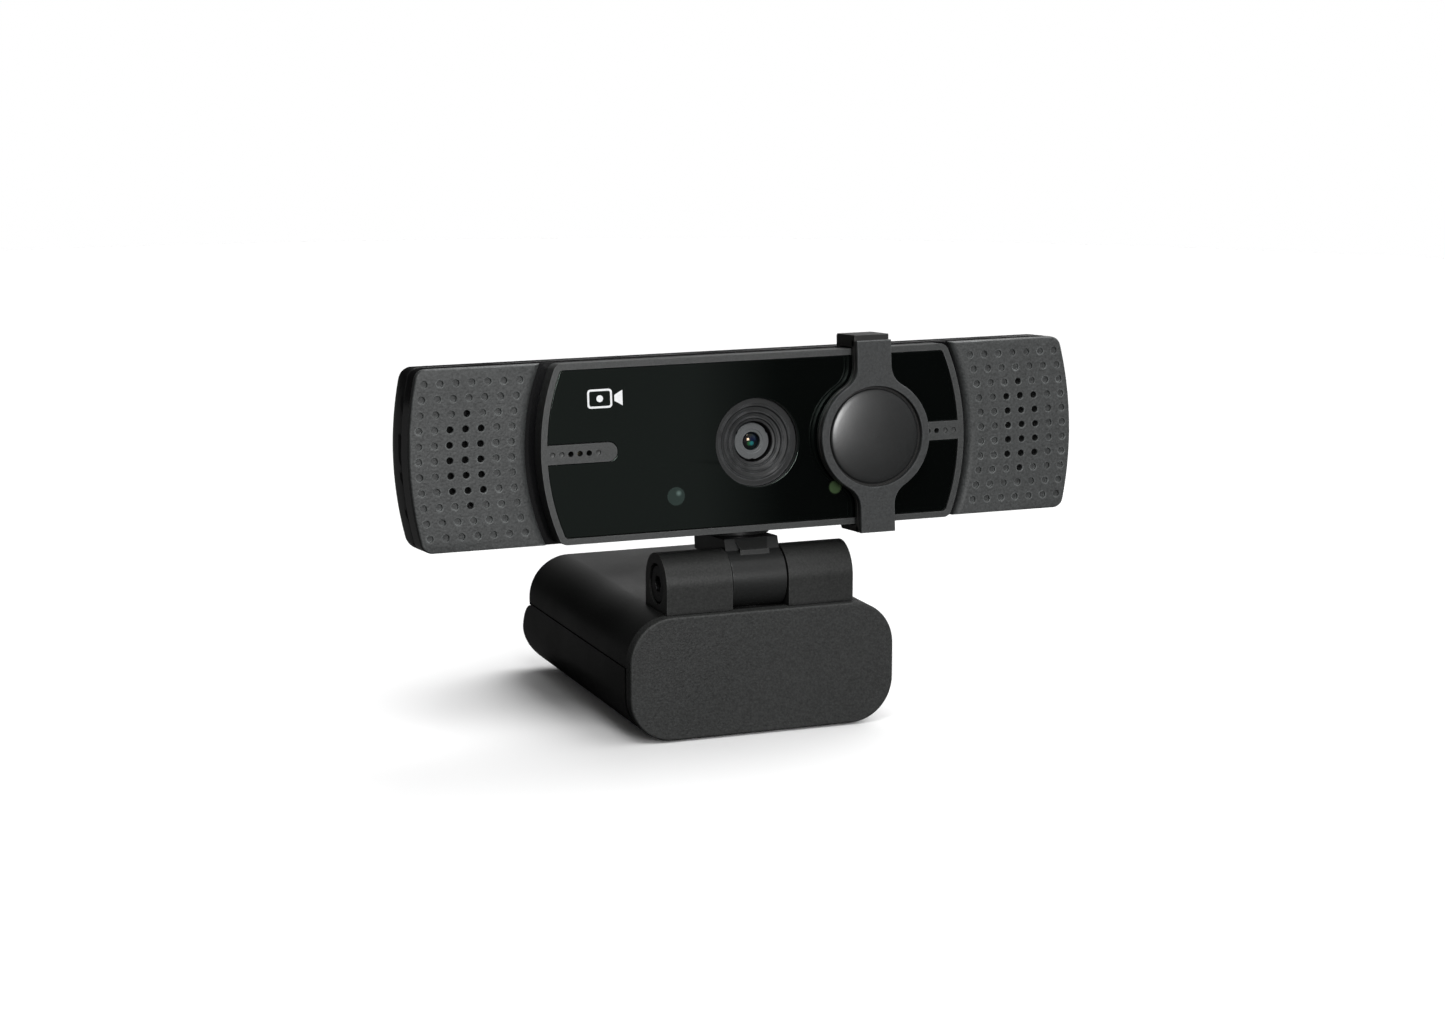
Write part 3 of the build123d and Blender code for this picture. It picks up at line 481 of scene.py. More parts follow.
wall_height = sums(screw_tree, "SUBTRACT", given["Head Height"], given["Crown"])
crown_top = sums(screw_tree, "SUBTRACT", given["Head Radius"], given["Crown"])
head_feeds = {"Vertices": 32, "Radius": given["Head Radius"], "Depth": wall_height}
crown_feeds = {"Vertices": 32, "Radius Bottom": given["Head Radius"], "Radius Top": crown_top, "Depth": given["Crown"]}
shank_feeds = {"Vertices": 24, "Radius": given["Shank Radius"], "Depth": given["Shank Length"]}
whole = node_in(screw_tree, "GeometryNodeMeshBoolean", operation="UNION")
for solid in (
    raised("Cylinder", sums(screw_tree, "MULTIPLY", wall_height, 0.5), head_feeds),
    raised("Cone", wall_height, crown_feeds),
    raised("Cylinder", sums(screw_tree, "MULTIPLY", given["Shank Length"], -0.49), shank_feeds),
):
    screw_tree.links.new(solid, whole.inputs["Mesh 2"])
slot = raised("Cube", given["Head Height"], {"Size": given["Slot Size"]})
cross = node_in(screw_tree, "GeometryNodeTransform", {"Geometry": slot, "Rotation": (0.0, 0.0, pi / 2)})
recess = cut_by(screw_tree, whole.outputs["Mesh"], slot)
screw_tree.links.new(cross.outputs[0], recess.inputs["Mesh 2"])
facing = node_in(screw_tree, "FunctionNodeEulerToRotation", {"Euler": given["Turn"]}).outputs[0]
coated(screw_tree, realized(screw_tree, given["Geometry"], recess, Rotation=facing), given, out)


def screws(name, points, head_radius, head_height, shank_radius, shank_length, turn, material):
    """The mesh of a set of like screws at points on their heads' undersides, in mm."""
    mesh = bpy.data.meshes.new(name)
    mesh.from_pydata([Vector(p) * mm for p in points], [], [])
    slot_size = Vector((1.15 * head_radius, 0.24 * head_radius, head_height)) * mm
    values = {"Head Radius": head_radius * mm, "Head Height": head_height * mm, "Crown": 0.25 * mm}
    values |= {"Shank Radius": shank_radius * mm, "Shank Length": shank_length * mm, "Slot Size": slot_size}
    return run_tree(working(name, mesh), screw_tree, {**values, "Turn": turn, "Finish": material}, 30.0)


clip_head_radius, clip_head_height, clip_shank_radius = 1.5, 0.9, 0.7
for name, node, body, down in (
    ("foot_lid_screws", "foot_screws", "foot", False), ("arm_lid_screws", "arm_screws", "arm", True),
):
    low, high = (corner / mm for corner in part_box(node))
    seat = low.z + clip_head_height if down else high.z - clip_head_height
    xs, ys = ((low[i] + clip_head_radius, high[i] - clip_head_radius) for i in (0, 1))
    spots = [(x, y, seat) for x in xs for y in ys]
    shank = high.z - low.z - clip_head_height
    turned_over = (pi if down else 0, 0, 0)
    mesh = screws(name, spots, clip_head_radius, clip_head_height, clip_shank_radius, shank, turned_over, bright_steel)
    fitted(name, mesh, bright_steel, body, "steel", node)
low, high = (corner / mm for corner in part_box("plate_screws"))
xs = (low.x + clip_head_radius, high.x - clip_head_radius)
spots = [(x, high.y - clip_head_height, (low.z + high.z) / 2) for x in xs]
shank = high.y - low.y - clip_head_height
to_back = (-pi / 2, 0, 0)
mesh = screws("lip_screws", spots, clip_head_radius, clip_head_height, clip_shank_radius, shank, to_back, bright_steel)
fitted("lip_screws", mesh, bright_steel, "arm", "steel", "plate_screws")

# Hinge pin and washers.
# A drawn steel pin pressed through the foot, with two thin nylon-backed washers beside the
# arm's lug; only the pin's ends and the washers' rims can be seen.
pin_steel = metal("drawn_steel_pin", (0.5, 0.5, 0.5), 0.24, across=(12.0, 1.0, 1.0))
fitted_soft("hinge_rod", "hinge_pin", 0.25, pin_steel, "foot", "steel")
dressed(bright_steel, "hinge_washers")

# Arm of the clip.
# The upper half, moulded in the same satin black plastic: a hollow block with rounded sides and
# back, two ears for the tilt hinge on top, and the hinge lug at its back.
fitted_soft("arm_housing", "arm_shell", 0.25, clip_black, "arm", "clip_plastic")

# The ears are painted 2.4 times lighter than the shell under them, as painted light on their lit fronts.
tilt_joint = next(j for j in frame["joints"] if j["name"] == "tilt")
deck = tilt_joint["pos_m"][2] - 4.7 * mm
tree = clip_black.node_tree
shader = tree.nodes["Principled BSDF"]
plain = shader.inputs["Base Color"].links[0].from_socket
place = node_in(tree, "ShaderNodeTexCoord").outputs["Object"]
height = node_in(tree, "ShaderNodeSeparateXYZ", {0: place}).outputs["Z"]
ear_painted_light_gain = ranged(tree, height, deck + 0.1 * mm, deck + 0.6 * mm, 1.0, 2.4)
ear_painted_light_tone = node_in(tree, "ShaderNodeVectorMath", {0: plain, "Scale": ear_painted_light_gain}, operation="SCALE")
fed(tree, shader, {"Base Color": ear_painted_light_tone.outputs[0]})

# Lip plate.
# A separate front plate, moulded dark grey with a coarse spark texture, screwed on from behind;
# it hangs over the screen's front edge.
plate_grey = moulded("textured_grey_plate", (0.027, 0.0282, 0.0276), 0.5, 0.62, 0.36, 0.05, tone=0.5, wear_and_highlight=0.8)
fitted_soft("lip_plate", "front_plate", 0.12, plate_grey, "arm", "plate_plastic")

# Tilt bolt.
# A blackened steel bolt with a hexagon socket through both ears and the neck's knuckle, with a
# washer and a hexagon nut; its friction holds the head at any tilt.
fitted_soft("tilt_axle", "tilt_bolt", 0.15, black_steel, "arm", "black_steel")
fitted_soft("tilt_axle_nut", "tilt_nut", 0.15, black_steel, "arm", "black_steel")
dressed(black_steel, "tilt_washers")

# Neck and swivel.
# A moulded knuckle turns on the bolt and reaches back to a flat round seat; a steel stud with a
# sprung washer and nut inside the head holds the seat, a thin disc keeps the faces apart.
neck_black = moulded("satin_black_neck", (0.018, 0.0187, 0.0185), 0.26, 0.36, 0.3, 0.012, wear_and_highlight=0.6, lift=3.0)
swivel_joint = next(j for j in frame["joints"] if j["name"] == "swivel")
lean_back = atan2(swivel_joint["axis"][1], swivel_joint["axis"][2])
neck_place = Matrix.Translation(Vector(tilt_joint["pos_m"])) @ Matrix.Rotation(-lean_back, 4, "X")


def joined(name, meshes):
    """One mesh made of several closed ones."""
    shape = bmesh.new()
    for mesh in meshes:
        shape.from_mesh(mesh)
    whole = bpy.data.meshes.new(name)
    shape.to_mesh(whole)
    shape.free()
    return whole


def level_box(half_width, front, back, height):
    """Four corners of a level rectangle across the neck."""
    corners = ((-half_width, front), (half_width, front), (half_width, back), (-half_width, back))
    return [(x, y, height) for x, y in corners]


# A sloping facet faces the front under the seat, on a small ledge.
bosses = [
    stacked("facet", [level_box(2.55, -2.6, -1.0, 5.15), level_box(3.25, -1.25, -0.9, 7.1)], False),
    stacked("ledge", [level_box(2.75, -3.05, -1.0, 4.2), level_box(2.75, -2.95, -1.0, 5.2)], False),
]
for boss in bosses:
    boss.transform(neck_place)
neck_mesh = joined("neck_knuckle", [softened("neck", 0.22)] + bosses)
fitted("neck_knuckle", neck_mesh, neck_black, "neck", "clip_plastic", "neck")
fitted_soft("swivel_seat_disc", "swivel_disc", 0.2, neck_black, "neck", "clip_plastic")
dressed(bright_steel, "swivel_stud", "swivel_washer", "swivel_nut")

# Rear cover of the head.
# A thin gloss-black moulded bowl, straight-walled at its rim and domed behind, with four deep
# screw pockets and a hole for the cable gland; a seam shows where it meets the front shell.
head_setback = 5.9
head_rise = 24.45
head_place = neck_place @ Matrix.Translation(Vector((0.0, -head_setback, head_rise)) * mm)
head_radius = 62.5
head_height = 31.5
head_wall = 1.8
end_corner = 2.0
seam_depth = 7.6
side_depth = 11.4
head_depth = 23.0
dome_inset = 9.0


def both_halves(quarter):
    """A closed outline from its quarter, mirrored down and across."""
    right = quarter + [(x, -z) for x, z in reversed(quarter[:-1])]
    return right + [(-x, z) for x, z in reversed(right[1:-1])]


def bar_ring(inset, corner, depth, line=10, bend=7, end=9):
    """One ring of the head's outline: flat top and bottom, ends on arcs about its centre."""
    outer = head_radius - inset
    top = head_height / 2 - inset
    fillet_x = sqrt((outer - corner) ** 2 - (top - corner) ** 2)
    turn_to = atan2(top - corner, fillet_x)
    quarter = [(fillet_x * i / line, top) for i in range(line)]
    for i in range(bend + 1):
        angle = pi / 2 + (turn_to - pi / 2) * i / bend
        quarter.append((fillet_x + corner * cos(angle), top - corner + corner * sin(angle)))
    for i in range(1, end + 1):
        angle = turn_to * (1 - i / end)
        quarter.append((outer * cos(angle), outer * sin(angle)))
    return [(x, depth, z) for x, z in both_halves(quarter)]


def dome_rings(inset, back, steps=14):
    """Rings from the side wall round the dome to the flat back."""
    rings = []
    for step in range(steps + 1):
        angle = pi / 2 * step / steps
        shrink = dome_inset * (1 - cos(angle))
        corner = end_corner + 0.35 * shrink - inset / 3
        rings.append(bar_ring(inset + shrink, corner, side_depth + (back - side_depth) * sin(angle)))
    return rings


def on_head(mesh):
    """Moves a mesh made about the middle of the centre frame to its place on the head."""
    mesh.transform(head_place)
    return mesh


def rod(radius, front, back, x=0.0, z=0.0, sides=48):
    """Two rings of a round bar along the head's depth."""
    return [[(px, depth, pz) for px, pz in circle(radius, sides, x, z)] for depth in (front, back)]


def cut_away(mesh, cutters):
    """Cuts a list of closed meshes out of a mesh."""
    piece = working(mesh.name + "_whole", mesh)
    tools = [working("cutter", cutter) for cutter in cutters]
    for tool in tools:
        away = piece.modifiers.new("cut", "BOOLEAN")
        away.operation = "DIFFERENCE"
        away.solver = "EXACT"
        away.object = tool
    made = baked(piece)
    for tool in tools:
        bpy.data.objects.remove(tool)
    return made


shell_gloss = moulded("gloss_black_shell", (0.004, 0.004, 0.0045), 0.08, 0.17, 0.5, 0.002, wear_and_highlight=0.25)
rear_gloss = moulded("rear_black_shell", (0.006, 0.006, 0.0065), 0.2, 0.3, 0.3, 0.006, wear_and_highlight=0.3)
outer_skin = [bar_ring(0.25, end_corner, seam_depth), bar_ring(0.0, end_corner, seam_depth + 0.25)]
outer_skin += [bar_ring(0.0, end_corner, side_depth - 1.5)] + dome_rings(0.0, head_depth)
inner_skin = [bar_ring(head_wall, end_corner, depth) for depth in (seam_depth, side_depth - 1.5)]
inner_skin += dome_rings(head_wall, head_depth - head_wall)
rear_mesh = stacked("rear_bowl", inner_skin[::-1] + outer_skin, False)

pocket_floor = 15.4
pocket_radius = 2.0
screw_spots = [(x, z) for x in (-47.0, 47.0) for z in (-7.5, 7.5)]
cutters = [stacked("pocket", rod(pocket_radius, pocket_floor, head_depth + 2, x, z), False) for x, z in screw_spots]
cutters.append(stacked("gland_hole", rod(3.4, head_depth - 4, head_depth + 2), False))
# The swivel's stud comes up through the bottom wall; its washer and nut lie in a round room.
stud_x, stud_y, _ = head_place.inverted() @ Vector(swivel_joint["pos_m"]) / mm
seat_low = -head_height / 2
seat_thick = 2.55
for radius, low, high in ((3.08, -1.0, seat_thick + 0.1), (4.75, seat_thick, 2 * seat_thick)):
    bar = [[(x, y, seat_low + z) for x, y in circle(radius, 48, stud_x, stud_y)] for z in (low, high)]
    cutters.append(stacked("stud_room", bar, False))
rear_mesh = eased("rear_bowl_whole_eased", cut_away(rear_mesh, cutters), 0.18, over=40.0)

# Each pocket is a cup with a hole for the screw in its floor.
cup_end = head_depth - 3.4
cups = []
for x, z in screw_spots:
    cup = rod(2.5, side_depth, cup_end, x, z, 32)
    cup += rod(pocket_radius + 0.02, pocket_floor - 0.1, cup_end, x, z, 32)[::-1]
    cups.append(stacked("cup", cup + rod(1.1, side_depth, pocket_floor - 0.1, x, z, 32)[::-1]))
rear_mesh = joined("rear_bowl", [rear_mesh] + cups)
fitted("rear_bowl", on_head(rear_mesh), rear_gloss, "head", "rear_plastic", "rear_cover")

case_points = [(x, -z, pocket_floor) for x, z in screw_spots]
case_mesh = screws("case_bolts", case_points, 1.9, 1.2, 1.0, 7.4, (0, 0, 0), black_steel)
case_mesh.transform(head_place @ Matrix.Rotation(-pi / 2, 4, "X"))
fitted("case_bolts", case_mesh, black_steel, "head", "black_steel", "case_screws")

# Cable gland.
# A soft rubber bush in the back of the head, with a lip outside and inside the wall; its mouth
# is rounded so that a lead isn't pinched.
def turned(name, outline, sides=64, sharp=25.0, x=0.0):
    """A turned piece about the head's depth axis, from its radius and depth outline."""
    rings = [[(px, depth, pz) for px, pz in circle(radius, sides, x)] for radius, depth in outline]
    return on_head(smooth(stacked(name, rings), sharp))


gland_profile = [(3.4, 21.2), (3.4, 23.0), (4.1, 23.0), (4.4, 23.3), (4.3, 23.8), (3.9, 24.0), (2.5, 24.0)]
gland_profile += [(2.0, 23.8), (1.8, 23.3), (1.8, 20.5), (2.1, 20.2), (4.1, 20.2), (4.4, 20.5), (4.4, 20.9)]
gland_profile += [(4.1, 21.2)]
fitted("lead_bush", turned("lead_bush", gland_profile, sharp=50.0), rubber, "head", "rubber", "cable_gland")

# Front shell of the head.
# The gloss-black case half that carries everything else: its side wall shows above and beside
# the front panels, with the cover's guide grooves in its top and bottom.
fitted_soft("front_case", "front_shell", 0.16, shell_gloss, "head", "shell_plastic")

# Speaker-style grille panels.
# Two end panels in matt dark grey plastic with a coarse spark texture, rolled over along their
# inner edge; a grid of small dots is moulded in, and those near the middle go right through.
panel_front = 2.26
panel_back = 3.66
roll_radius = 41.75
grille_colour = (0.042, 0.0445, 0.0445)
# Its edges, such as the rims of the dots, are painted much lighter through the edge mask: handling wear and a painted
# highlight.
grille_grey = moulded("matt_grey_grille", grille_colour, 0.5, 0.62, 0.42, 0.06, tone=0.42, wear_and_highlight=1.0, lift=5.0)
sizes = "Row Pitch, Column Pitch, Outer Radius, Dot Radius, Dot Depth, Panel Front, Side"
grille_tree, given, out = geometry_tree("grille dots", Int="Rows, Columns", Float=sizes)


def worked(kind, *numbers):
    """Numbers worked together inside the grille tree."""
    return sums(grille_tree, kind, *numbers)


def squared(number):
    """A number of the grille tree times itself."""
    return worked("MULTIPLY", number, number)


# A flat grid of points is bent so that its columns lie on arcs about the head's centre.
column_span = worked("MULTIPLY", worked("SUBTRACT", given["Columns"], 1.0), given["Column Pitch"])
row_span = worked("MULTIPLY", worked("SUBTRACT", given["Rows"], 1.0), given["Row Pitch"])
grid_feeds = {"Size X": column_span, "Size Y": row_span, "Vertices X": given["Columns"], "Vertices Y": given["Rows"]}
dot_grid = node_in(grille_tree, "GeometryNodeMeshGrid", grid_feeds).outputs["Mesh"]
grid_place = node_in(grille_tree, "GeometryNodeInputPosition").outputs[0]
column_at, row_at, _ = node_in(grille_tree, "ShaderNodeSeparateXYZ", {0: grid_place}).outputs
arc_radius = worked("ADD", given["Outer Radius"], worked("SUBTRACT", column_at, worked("MULTIPLY", column_span, 0.5)))
across = worked("SQRT", worked("SUBTRACT", squared(arc_radius), squared(row_at)))
bent_feeds = {0: worked("MULTIPLY", across, given["Side"]), 1: given["Panel Front"], 2: row_at}
bent = node_in(grille_tree, "ShaderNodeCombineXYZ", bent_feeds).outputs[0]

# Dots inside an oval about the panel's middle go right through.
row_share = worked("DIVIDE", row_at, worked("MULTIPLY", given["Row Pitch"], 3.2))
column_share = worked("DIVIDE", column_at, worked("MULTIPLY", given["Column Pitch"], 1.5))
keep = node_in(grille_tree, "GeometryNodeCaptureAttribute", {0: dot_grid})
keep.capture_items.new("FLOAT", "Through")
inside = worked("LESS_THAN", worked("ADD", squared(row_share), squared(column_share)), 1.0)
grille_tree.links.new(inside, keep.inputs[1])
spots = node_in(grille_tree, "GeometryNodeSetPosition", {"Geometry": keep.outputs[0], "Position": bent}).outputs[0]
hole_depth = worked("MULTIPLY_ADD", keep.outputs[1], 4.0 * mm, given["Dot Depth"])
bit_scale = node_in(grille_tree, "ShaderNodeCombineXYZ", {0: 1.0, 1: 1.0, 2: hole_depth}).outputs[0]
along_depth = (pi / 2, 0.0, 0.0)
bit_feeds = {"Vertices": 18, "Radius": given["Dot Radius"], "Depth": 2.0}
bit = node_in(grille_tree, "GeometryNodeMeshCylinder", bit_feeds)
bits = realized(grille_tree, spots, bit, Scale=bit_scale, Rotation=along_depth)

# Each mouth flares a little.
flare_feeds = {"Vertices": 18, "Depth": 0.2 * mm, "Radius Bottom": worked("MULTIPLY", given["Dot Radius"], 0.9)}
flare_feeds["Radius Top"] = worked("MULTIPLY", given["Dot Radius"], 1.42)
flare = node_in(grille_tree, "GeometryNodeMeshCone", flare_feeds)
flare_at = node_in(grille_tree, "GeometryNodeSetPosition", {"Geometry": spots, "Offset": (0.0, 0.12 * mm, 0.0)})
flares = realized(grille_tree, flare_at.outputs[0], flare, Rotation=along_depth)
flared = cut_by(grille_tree, given["Geometry"], flares, solver="EXACT")
drilled = cut_by(grille_tree, flared.outputs["Mesh"], bits, solver="EXACT")
coated(grille_tree, drilled.outputs["Mesh"], given, out)


def grille_panel(name, side):
    """An end of the head's outline, cut off by the frame's channel, with its rows of dots."""
    ring = [(x, z) for x, _, z in bar_ring(0.0, end_corner, panel_front, line=2)]
    top = head_height / 2
    first = sqrt(roll_radius**2 - top**2)
    half = [(first, top)] + [p for p in ring if p[0] > roll_radius - 4 and p[1] > top - 0.001]
    half += [p for p in ring if p[0] > roll_radius and abs(p[1]) < top - 0.001]
    half += [p for p in ring if p[0] > roll_radius - 4 and p[1] < 0.001 - top] + [(first, -top)]
    half = [p for i, p in enumerate(half) if i == 0 or (Vector(p) - Vector(half[i - 1])).length > 0.01]
    reach = atan2(top, first)
    arc = [-reach + 2 * reach * i / 30 for i in range(1, 30)]
    outline = [(side * x, z) for x, z in half + [(roll_radius * cos(a), roll_radius * sin(a)) for a in arc]]
    shape = bmesh.new()
    front, back = ([shape.verts.new(Vector((x, y, z)) * mm) for x, z in outline] for y in (panel_front, panel_back))
    shape.faces.new(front)
    shape.faces.new(back)
    nexts = [(i + 1) % len(outline) for i in range(len(outline))]
    for i, j in enumerate(nexts):
        shape.faces.new((front[i], front[j], back[j], back[i]))
    bmesh.ops.recalc_face_normals(shape, faces=shape.faces)
    weight = shape.edges.layers.float.new("bevel_weight_edge")
    for i, j in enumerate(nexts):
        rolled = (Vector(outline[i]) + Vector(outline[j])).length / 2 < roll_radius + 0.02
        shape.edges.get((front[i], front[j]))[weight] = 1.0 if rolled else 0.22
    mesh = bpy.data.meshes.new(name)
    shape.to_mesh(mesh)
    shape.free()
    piece = working(name, mesh)
    roll = piece.modifiers.new("rolled edge", "BEVEL")
    roll.width = 1.35 * mm
    roll.segments = 5
    roll.limit_method = "WEIGHT"
    roll.use_clamp_overlap = False
    values = {"Row Pitch": 2.633 * mm, "Column Pitch": 2.73 * mm, "Outer Radius": 60.9 * mm, "Dot Radius": 0.6 * mm}
    values |= {"Rows": 11, "Columns": 7, "Dot Depth": 0.5 * mm, "Panel Front": panel_front * mm}
    return on_head(run_tree(piece, grille_tree, {**values, "Side": float(side), "Finish": grille_grey}, 30.0))


for end, side in (("right", 1), ("left", -1)):
    panel = grille_panel("grille_panel_" + end, side)
    fitted("grille_panel_" + end, panel, grille_grey, "head", "grille_plastic", "grille_" + end)

# Thin black acoustic cloth glued behind the open dots.
cloth_black = moulded("acoustic_cloth", (0.006,) * 3, 0.85, 0.95, 0.16, 0.05, tone=0.5, wear_and_highlight=0.0, sheen=0.1)
dressed(cloth_black, "grille_cloths")

# Centre frame.
# A rounded bar frame standing proud of the grilles, in satin dark grey; a narrow rim holds the
# glass, and two tabs reach inward with a row of microphone holes.
frame_colour = (0.038, 0.04, 0.0395)
frame_grey = moulded("satin_grey_frame", frame_colour, 0.38, 0.5, 0.26, 0.02, tone=0.38, wear_and_highlight=0.6, lift=2.6)
fitted_soft("centre_bezel", "centre_frame", 0.12, frame_grey, "head", "frame_plastic")

# Front glass.
# A gloss pane, printed black on its back except for a clear spot over the light sensor and one
# over the indicator; a small generic camera sign is printed in white beside the lens.
def spot_mask(tree, place, spot, radius, inner):
    """A soft-edged round mask about a point of the head, in mm."""
    middle = head_place @ (Vector(spot) * mm)
    away = node_in(tree, "ShaderNodeVectorMath", {0: place, 1: middle}, operation="DISTANCE").outputs["Value"]
    return ranged(tree, away, radius * mm, inner * mm)


glass_black, tree, shader, place = new_material("printed_black_glass")
haze = placed_group(tree, film, place, Bright=0.03, Dull=0.075)
ink = noise(tree, place, 35.0)
pane_tone = blend(tree, ink, (0.0012, 0.0016, 0.0015, 1.0), (0.0025, 0.0032, 0.003, 1.0))
for x, z, radius, inner, colour in (
    (-15.5, -8.5, 1.67, 1.55, (0.02, 0.03, 0.027, 1.0)),
    # The small lighter spot in the middle of the sensor's clear spot is a painted glint.
    (-15.0, -8.0, 0.6, 0.1, (0.1, 0.14, 0.13, 1.0)),
    (14.6, -8.85, 1.3, 0.95, (0.052, 0.085, 0.038, 1.0)),
):
    pane_tone = blend(tree, spot_mask(tree, place, (x, 0.2, z), radius, inner), pane_tone, colour)
fed(tree, shader, {"Base Color": pane_tone, "Roughness": haze["Roughness"]})
fed(tree, shader, {"Coat Weight": 0.6, "Coat Roughness": 0.02, "Specular Tint": (0.72, 1.0, 0.84, 1.0)})
fitted_soft("front_pane", "front_glass", 0.12, glass_black, "head", "front_glass")

# Pale screen ink for the camera sign: a rounded body with a ring for its lens and a horn.
ink_white = moulded("pale_sign_ink", (0.72, 0.73, 0.74), 0.4, 0.5, 0.3, 0.004, tone=0.1, wear_and_highlight=0.0)
sign_x = -28.0
sign_z = 9.3
ink_front, ink_back = 0.185, 0.215


def sign_ring(outline, depth):
    """An outline about the sign's middle, at a depth on the head."""
    return [(sign_x + x, depth, sign_z + z) for x, z in outline]


def rounded_box(left, right, half_height, corner, steps=6):
    """An outline with rounded corners."""
    points = []
    for turn, (side_x, side_z) in enumerate(((1, 1), (-1, 1), (-1, -1), (1, -1))):
        middle = (right - corner if side_x > 0 else left + corner, side_z * (half_height - corner))
        for i in range(steps + 1):
            angle = pi / 2 * (turn + i / steps)
            points.append((middle[0] + corner * cos(angle), middle[1] + corner * sin(angle)))
    return points


body, body_hole = rounded_box(-3.2, 1.3, 1.65, 0.6), rounded_box(-2.85, 0.95, 1.3, 0.35)
rim = [sign_ring(body, depth) for depth in (ink_front, ink_back)]
rim += [sign_ring(body_hole, depth) for depth in (ink_back, ink_front)]
horn = [(1.7, -0.5), (3.2, -1.35), (3.2, 1.35), (1.7, 0.5)]
marks = (horn, circle(0.6, 20, -0.95))
flats = [stacked("flat", [sign_ring(mark, depth) for depth in (ink_front, ink_back)], False) for mark in marks]
sign_mesh = joined("camera_sign", [stacked("rim", rim)] + flats)
fitted("camera_sign", on_head(sign_mesh), ink_white, "head", "front_glass")

# Lens hood.
# A moulded black funnel that steps down to the lens in crisp rings, each with a small lip; the
# steps are satin so that their lower right edges catch the light.
hood_colour = (0.012, 0.0125, 0.013)
# The lips and step edges are painted much lighter through the edge mask, as a painted highlight.
hood_black = moulded("stepped_hood_black", hood_colour, 0.34, 0.44, 0.2, 0.008, tone=0.15, wear_and_highlight=1.0, lift=6.0)
hood_profile = [(7.83, 3.66), (7.83, 1.58), (7.75, 1.5), (6.85, 1.5), (6.78, 1.56), (6.62, 1.56), (6.55, 1.5)]
hood_profile += [(6.42, 1.5), (6.15, 1.74), (5.62, 1.78), (5.56, 1.86), (5.42, 1.86), (5.36, 1.78), (5.24, 1.78)]
hood_profile += [(5.0, 2.02), (4.62, 2.06), (4.56, 2.14), (4.44, 2.14), (4.38, 2.06), (4.26, 2.06), (4.05, 2.3)]
hood_profile += [(3.72, 2.34), (3.6, 2.44), (3.6, 6.9), (4.4, 6.9), (4.4, 3.66)]
fitted("funnel", turned("funnel", hood_profile, 96), hood_black, "head", "hood_plastic", "lens_hood")

# Lens barrel and lenses.
# A threaded plastic barrel with three small spanner notches in its face, holding coated glass
# lenses over a spacer; reflections of blue, green and cyan are painted on the front coating as patches.
barrel_grey = moulded("satin_barrel_grey", (0.075, 0.08, 0.082), 0.42, 0.52, 0.16, 0.012, tone=0.25, wear_and_highlight=0.8)


def notched_ring(radius, depth, cut, sides=96):
    """A ring of the barrel, pulled in at its three spanner notches."""
    points = []
    for i in range(sides):
        angle = 2 * pi * i / sides
        pull = cut if abs((3 * i / sides + 0.25) % 1.0 - 0.5) < 0.055 else 0.0
        points.append(((radius - pull) * cos(angle), depth, (radius - pull) * sin(angle)))
    return points


notch = 0.14
barrel_outline = [(3.25, 9.4, 0), (3.25, 4.2, 0), (3.25, 4.15, notch), (3.25, 3.2, notch), (3.15, 3.1, notch)]
barrel_outline += [(2.2, 3.1, 0), (2.1, 3.16, 0), (1.72, 3.16, 0), (1.64, 3.24, 0), (1.64, 4.3, 0), (2.24, 4.3, 0)]
barrel_outline += [(2.24, 9.4, 0)]
barrel_mesh = smooth(stacked("barrel_tube", [notched_ring(*spot) for spot in barrel_outline]), 28)
fitted("barrel_tube", on_head(barrel_mesh), barrel_grey, "head", "barrel_plastic", "lens_barrel")


def coated_glass(name, colour, film_depth, through, painted_reflections=()):
    """Lens glass with a thin coating that tints its reflection, and painted reflections as patches of colour."""
    material, tree, shader, place = new_material(name)
    tint_with_painted_reflections = blend(tree, noise(tree, place, 240.0), toned(colour, 1.0), toned(colour, 1.5))
    for x, z, size, reflection_colour in painted_reflections:
        tint_with_painted_reflections = blend(tree, spot_mask(tree, place, (x, 3.36, z), size, size * 0.4), tint_with_painted_reflections, reflection_colour + (1.0,))
    fed(tree, shader, {"Base Color": tint_with_painted_reflections, "Roughness": 0.02, "IOR": 1.6, "Transmission Weight": through})
    fed(tree, shader, {"Thin Film Thickness": film_depth, "Thin Film IOR": 1.38})
    fed(tree, shader, {"Coat Weight": 0.5, "Coat Roughness": 0.01})
    return material


# Painted reflections on the front element: deep blue above right, green and cyan below.
painted_reflection_patches = [(0.35, 0.4, 0.85, (0.003, 0.007, 0.03)), (-0.35, -0.4, 0.5, (0.014, 0.09, 0.03))]
painted_reflection_patches += [(0.1, -0.4, 0.5, (0.015, 0.16, 0.17))]
front_coating_with_painted_reflections = coated_glass("front_lens_coating_with_painted_reflections", (0.004, 0.005, 0.008), 430.0, 0.0, painted_reflection_patches)
lens_profile = [(0.02, 3.3), (0.5, 3.34), (0.9, 3.43), (1.25, 3.57), (1.45, 3.69), (1.62, 3.84), (1.64, 4.28)]
lens_profile += [(2.22, 4.3), (2.22, 5.48), (1.4, 5.48), (1.1, 5.2), (0.7, 4.98), (0.3, 4.88), (0.02, 4.86)]
lens_mesh = turned("front_element", lens_profile, 48, 40.0)
fitted("front_element", lens_mesh, front_coating_with_painted_reflections, "head", "lens_glass", "front_lens")
dressed(coated_glass("rear_lens_coating", (0.014, 0.02, 0.045), 330.0, 0.0), "rear_lens")
dressed(moulded("lens_spacer_black", (0.01,) * 3, 0.6, 0.7, 0.2, 0.01), "lens_spacer", "lens_holder")
dressed(coated_glass("infrared_filter_coating", (0.2, 0.02, 0.02), 600.0, 0.6), "infrared_filter")

